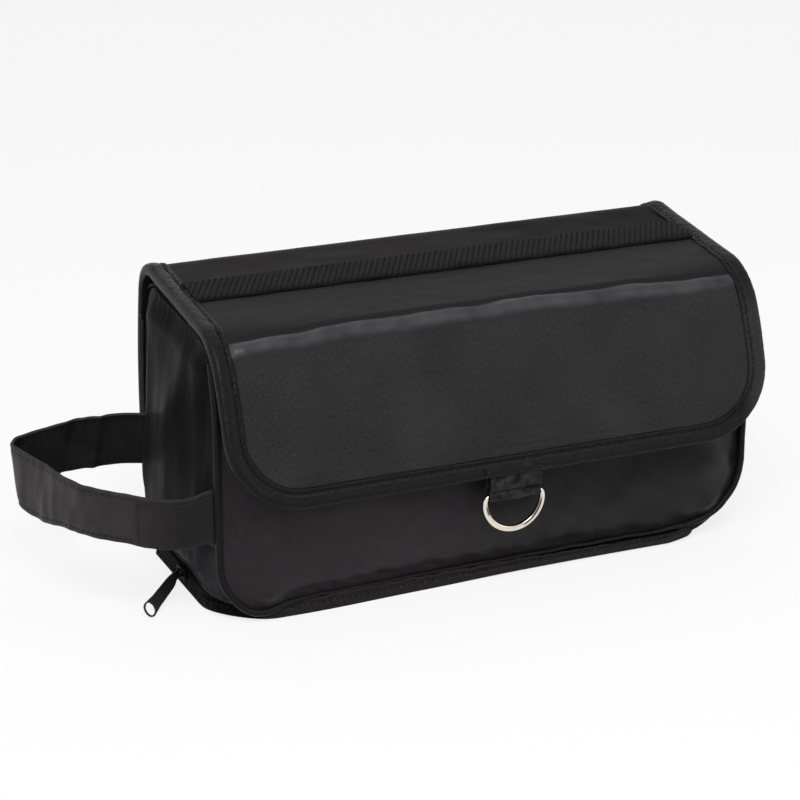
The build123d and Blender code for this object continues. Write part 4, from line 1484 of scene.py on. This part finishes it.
def make_pull():
    """The pull: a long flat blade with a raised rim, a textured grip and an open slot at its tip."""
    swing, droop = radians(PULL_SWING), radians(PULL_DROOP)
    along = Vector((-cos(swing) * cos(droop), -sin(swing) * cos(droop), -sin(droop)))
    line = Vector((-cos(swing) * sin(droop), -sin(swing) * sin(droop), cos(droop)))
    across = line.cross(along)
    place = axes(Vector(joints["pull_swing"]["pos_m"]) / MM, along, line, -across)

    def blade_half(x):
        """Half the blade's width at a distance from the pin, up to its round tip."""
        if x > PULL_LENGTH - PULL_TIP:
            share = sqrt(max(1 - ((x - PULL_LENGTH + PULL_TIP) / PULL_TIP) ** 2, 0.0))
        else:
            share = 1.0
        for (x0, w0), (x1, w1) in zip(PULL_HALF, PULL_HALF[1:]):
            if x <= x1:
                return mix(w0, w1, smooth((x - x0) / (x1 - x0))) * share
        return PULL_HALF[-1][1] * share

    def slot_half(x):
        """Half the width of the long slot near the tip."""
        share = (x - PULL_LENGTH + SLOT_BEFORE_TIP) / SLOT_HALF
        return SLOT_WIDE * sqrt(1 - share**2) ** 0.7 if abs(share) < 1 else 0.0

    def leaf(u, v, sign):
        """A point of the blade's left or right half: along it, and from its inner edge round the rim."""
        x = mix(PULL_ROOT, PULL_LENGTH, 1 - (1 - u) ** 1.3)
        w, inner = blade_half(x), slot_half(x)
        face, loop = (1, 2 * v) if v < 0.5 else (-1, 2 * (1 - v))
        thick = mix(0.6, 0.35, smooth((x - 24) / 8)) * face
        y, z = mix(inner, w, max(loop - 0.1, 0.0) / 0.9), thick * min(loop / 0.1, 1.0)
        rim = min(w - y, max(y - inner, 0.0) if inner > 0 else 9.0)
        relief = 0.25 * (1 - smooth(rim / 0.9)) if w - y > 0.05 else 0.0
        z *= 0.55 + 0.45 * smooth(min(rim, 0.5) / 0.5)
        grain = 0.0
        if 12 < x < PULL_LENGTH - 12 and rim > 0.9:
            grain = 0.12 * (sin(2 * pi * x / 1.1) * sin(2 * pi * y / 1.1))
        z += (relief + grain) * face * min(loop / 0.1, 1.0)
        y *= sign
        twist = PULL_ROLL * smooth((x - 2) / 10)
        return place @ Vector((x, y * cos(twist) - z * sin(twist), y * sin(twist) + z * cos(twist)))

    pieces = []
    for sign in (-1, 1):
        pieces.append(cloth(150, 30, lambda u, v, sign=sign: leaf(u, v, sign), (PULL_LENGTH, 12)))
        close_tube(pieces[-1])
    bpy.ops.mesh.primitive_cylinder_add(vertices=20, radius=PIN_RADIUS, depth=PIN_LENGTH)
    pin = bpy.context.object
    for vertex in pin.data.vertices:
        vertex.co = (place @ Vector((vertex.co.x, vertex.co.z, vertex.co.y))) * MM
    pull = finish(joined([*pieces, pin]), "pull_tab", black_paint)
    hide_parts("zip_pull")
    return pull


def bends(piece, part):
    """Bakes a piece's place into its mesh, the same for the back's pieces as for the flap's."""
    if part == "back":
        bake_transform(piece)
    else:
        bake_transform(piece)


def build():
    """Makes every piece and attaches most of them to the body that they ride on."""
    back, flap, front = make_back_sheet(), make_flap_sheet(), make_front_panel()
    bends(back, "back")
    bends(flap, "flap")
    for part, piece in make_bindings():
        bends(piece, part)
    for piece in make_webbing():
        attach(piece, "pouch")
    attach(front, "pouch")
    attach(make_piping(), "pouch")
    for sign in (-1, 1):
        wall, row = make_gusset(sign)
        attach(wall, "pouch")
        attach(row, "pouch")
    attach(make_pouch_top(), "pouch")
    for piece in make_base_hem():
        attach(piece, "sheet")
    for piece in make_zip_half(False):
        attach(piece, "sheet")
    for piece in make_zip_half(True):
        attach(piece, "pouch")
    for name, centre in (("left", -PATCH_CENTRE), ("right", PATCH_CENTRE)):
        loops = patch(f"{name}_loop_patch", centre, POUCH_INSET, -1)
        hooks = patch(f"{name}_hook_patch", centre, SHEET, 1)
        if name == "left":
            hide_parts("loop_patches")
            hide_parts("hook_patches")
        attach(loops, "pouch")
        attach(hooks, "flap")
    for piece in make_tab():
        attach(piece, "flap")
    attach(make_ring(), "ring")
    for piece in make_strap():
        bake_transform(piece)
    for piece in make_anchors():
        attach(piece, "pouch")
    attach(make_slider(), "slider")
    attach(make_pull(), "pull")
    stops = frame["nodes"]["zip_stops"]
    stops.data.materials.clear()
    stops.data.materials.append(slider_paint)


# Camera, floor and light

CAMERA_TARGET = (-28.8, 0, 84.7)
CAMERA_DISTANCE = 1326.0
CAMERA_AZIMUTH = -23.7
CAMERA_ELEVATION = 20.1
CAMERA_LENS = 114.26
FLOOR_GLOW = 0.8
SURROUND_LIGHT = 0.4


def make_camera():
    """The camera that matches the photo's."""
    a, e = radians(CAMERA_AZIMUTH), radians(CAMERA_ELEVATION)
    back = Vector((sin(a) * cos(e), -cos(a) * cos(e), sin(e)))
    camera = bpy.data.objects.new("camera", bpy.data.cameras.new("camera"))
    camera.location = (Vector(CAMERA_TARGET) + back * CAMERA_DISTANCE) * MM
    camera.rotation_euler = (-back).to_track_quat("-Z", "Y").to_euler()
    camera.data.lens = CAMERA_LENS
    camera.data.sensor_width = 36
    camera.data.clip_start = 0.01
    bpy.context.scene.collection.objects.link(camera)
    bpy.context.scene.camera = camera


def camera_share(tree):
    """1 for rays that the camera sees, also in mirrors and through glass, and 0 for the light's own."""
    path = tree.nodes.new("ShaderNodeLightPath").outputs
    seen = math_node(tree, "MAXIMUM", path["Is Camera Ray"], path["Is Glossy Ray"])
    return math_node(tree, "MAXIMUM", seen, path["Is Transmission Ray"])


def make_floor():
    """A white floor that shows a little paler to the camera than the light makes it."""
    bpy.ops.mesh.primitive_plane_add(size=8)
    floor_piece = bpy.context.object
    floor_piece.name = "floor"
    material = bpy.data.materials.new("floor")
    material.use_nodes = True
    tree = material.node_tree
    shader = tree.nodes["Principled BSDF"]
    shader.inputs["Base Color"].default_value = (0.9, 0.9, 0.9, 1)
    shader.inputs["Roughness"].default_value = 0.9
    glow = add_node(tree, "ShaderNodeEmission", Color=(1, 1, 1, 1), Strength=1.0)
    blend = tree.nodes.new("ShaderNodeMixShader")
    shares = (times(tree, camera_share(tree), FLOOR_GLOW), shader.outputs[0], glow.outputs[0])
    for socket, value in zip(blend.inputs, shares):
        feed(tree, socket, value)
    feed(tree, tree.nodes["Material Output"].inputs["Surface"], blend.outputs[0])
    floor_piece.data.materials.append(material)


def lamp(name, place, size, power):
    """A square lamp that faces the middle of the bag."""
    light = bpy.data.lights.new(name, "AREA")
    light.size = size
    light.energy = power
    piece = bpy.data.objects.new(name, light)
    piece.location = place
    piece.rotation_euler = (Vector((0, 0, 0.08)) - Vector(place)).to_track_quat("-Z", "Y").to_euler()
    bpy.context.scene.collection.objects.link(piece)


def make_light():
    """A white surround that lights the bag more softly than it shows, and three lamps."""
    world = bpy.data.worlds.new("world")
    bpy.context.scene.world = world
    world.use_nodes = True
    tree = world.node_tree
    back = tree.nodes["Background"]
    back.inputs["Color"].default_value = (1, 1, 1, 1)
    shown = times(tree, camera_share(tree), 1 - SURROUND_LIGHT)
    feed(tree, back.inputs["Strength"], plus(tree, shown, SURROUND_LIGHT))
    lamp("key", (-0.6, -1.2, 1.5), 1.0, 28)
    lamp("fill", (1.3, -1.1, 0.6), 1.2, 5)
    lamp("top", (0.1, 0.6, 1.6), 1.0, 3)


build()
make_camera()
make_floor()
make_light()
bpy.context.scene.view_settings.view_transform = "Standard"
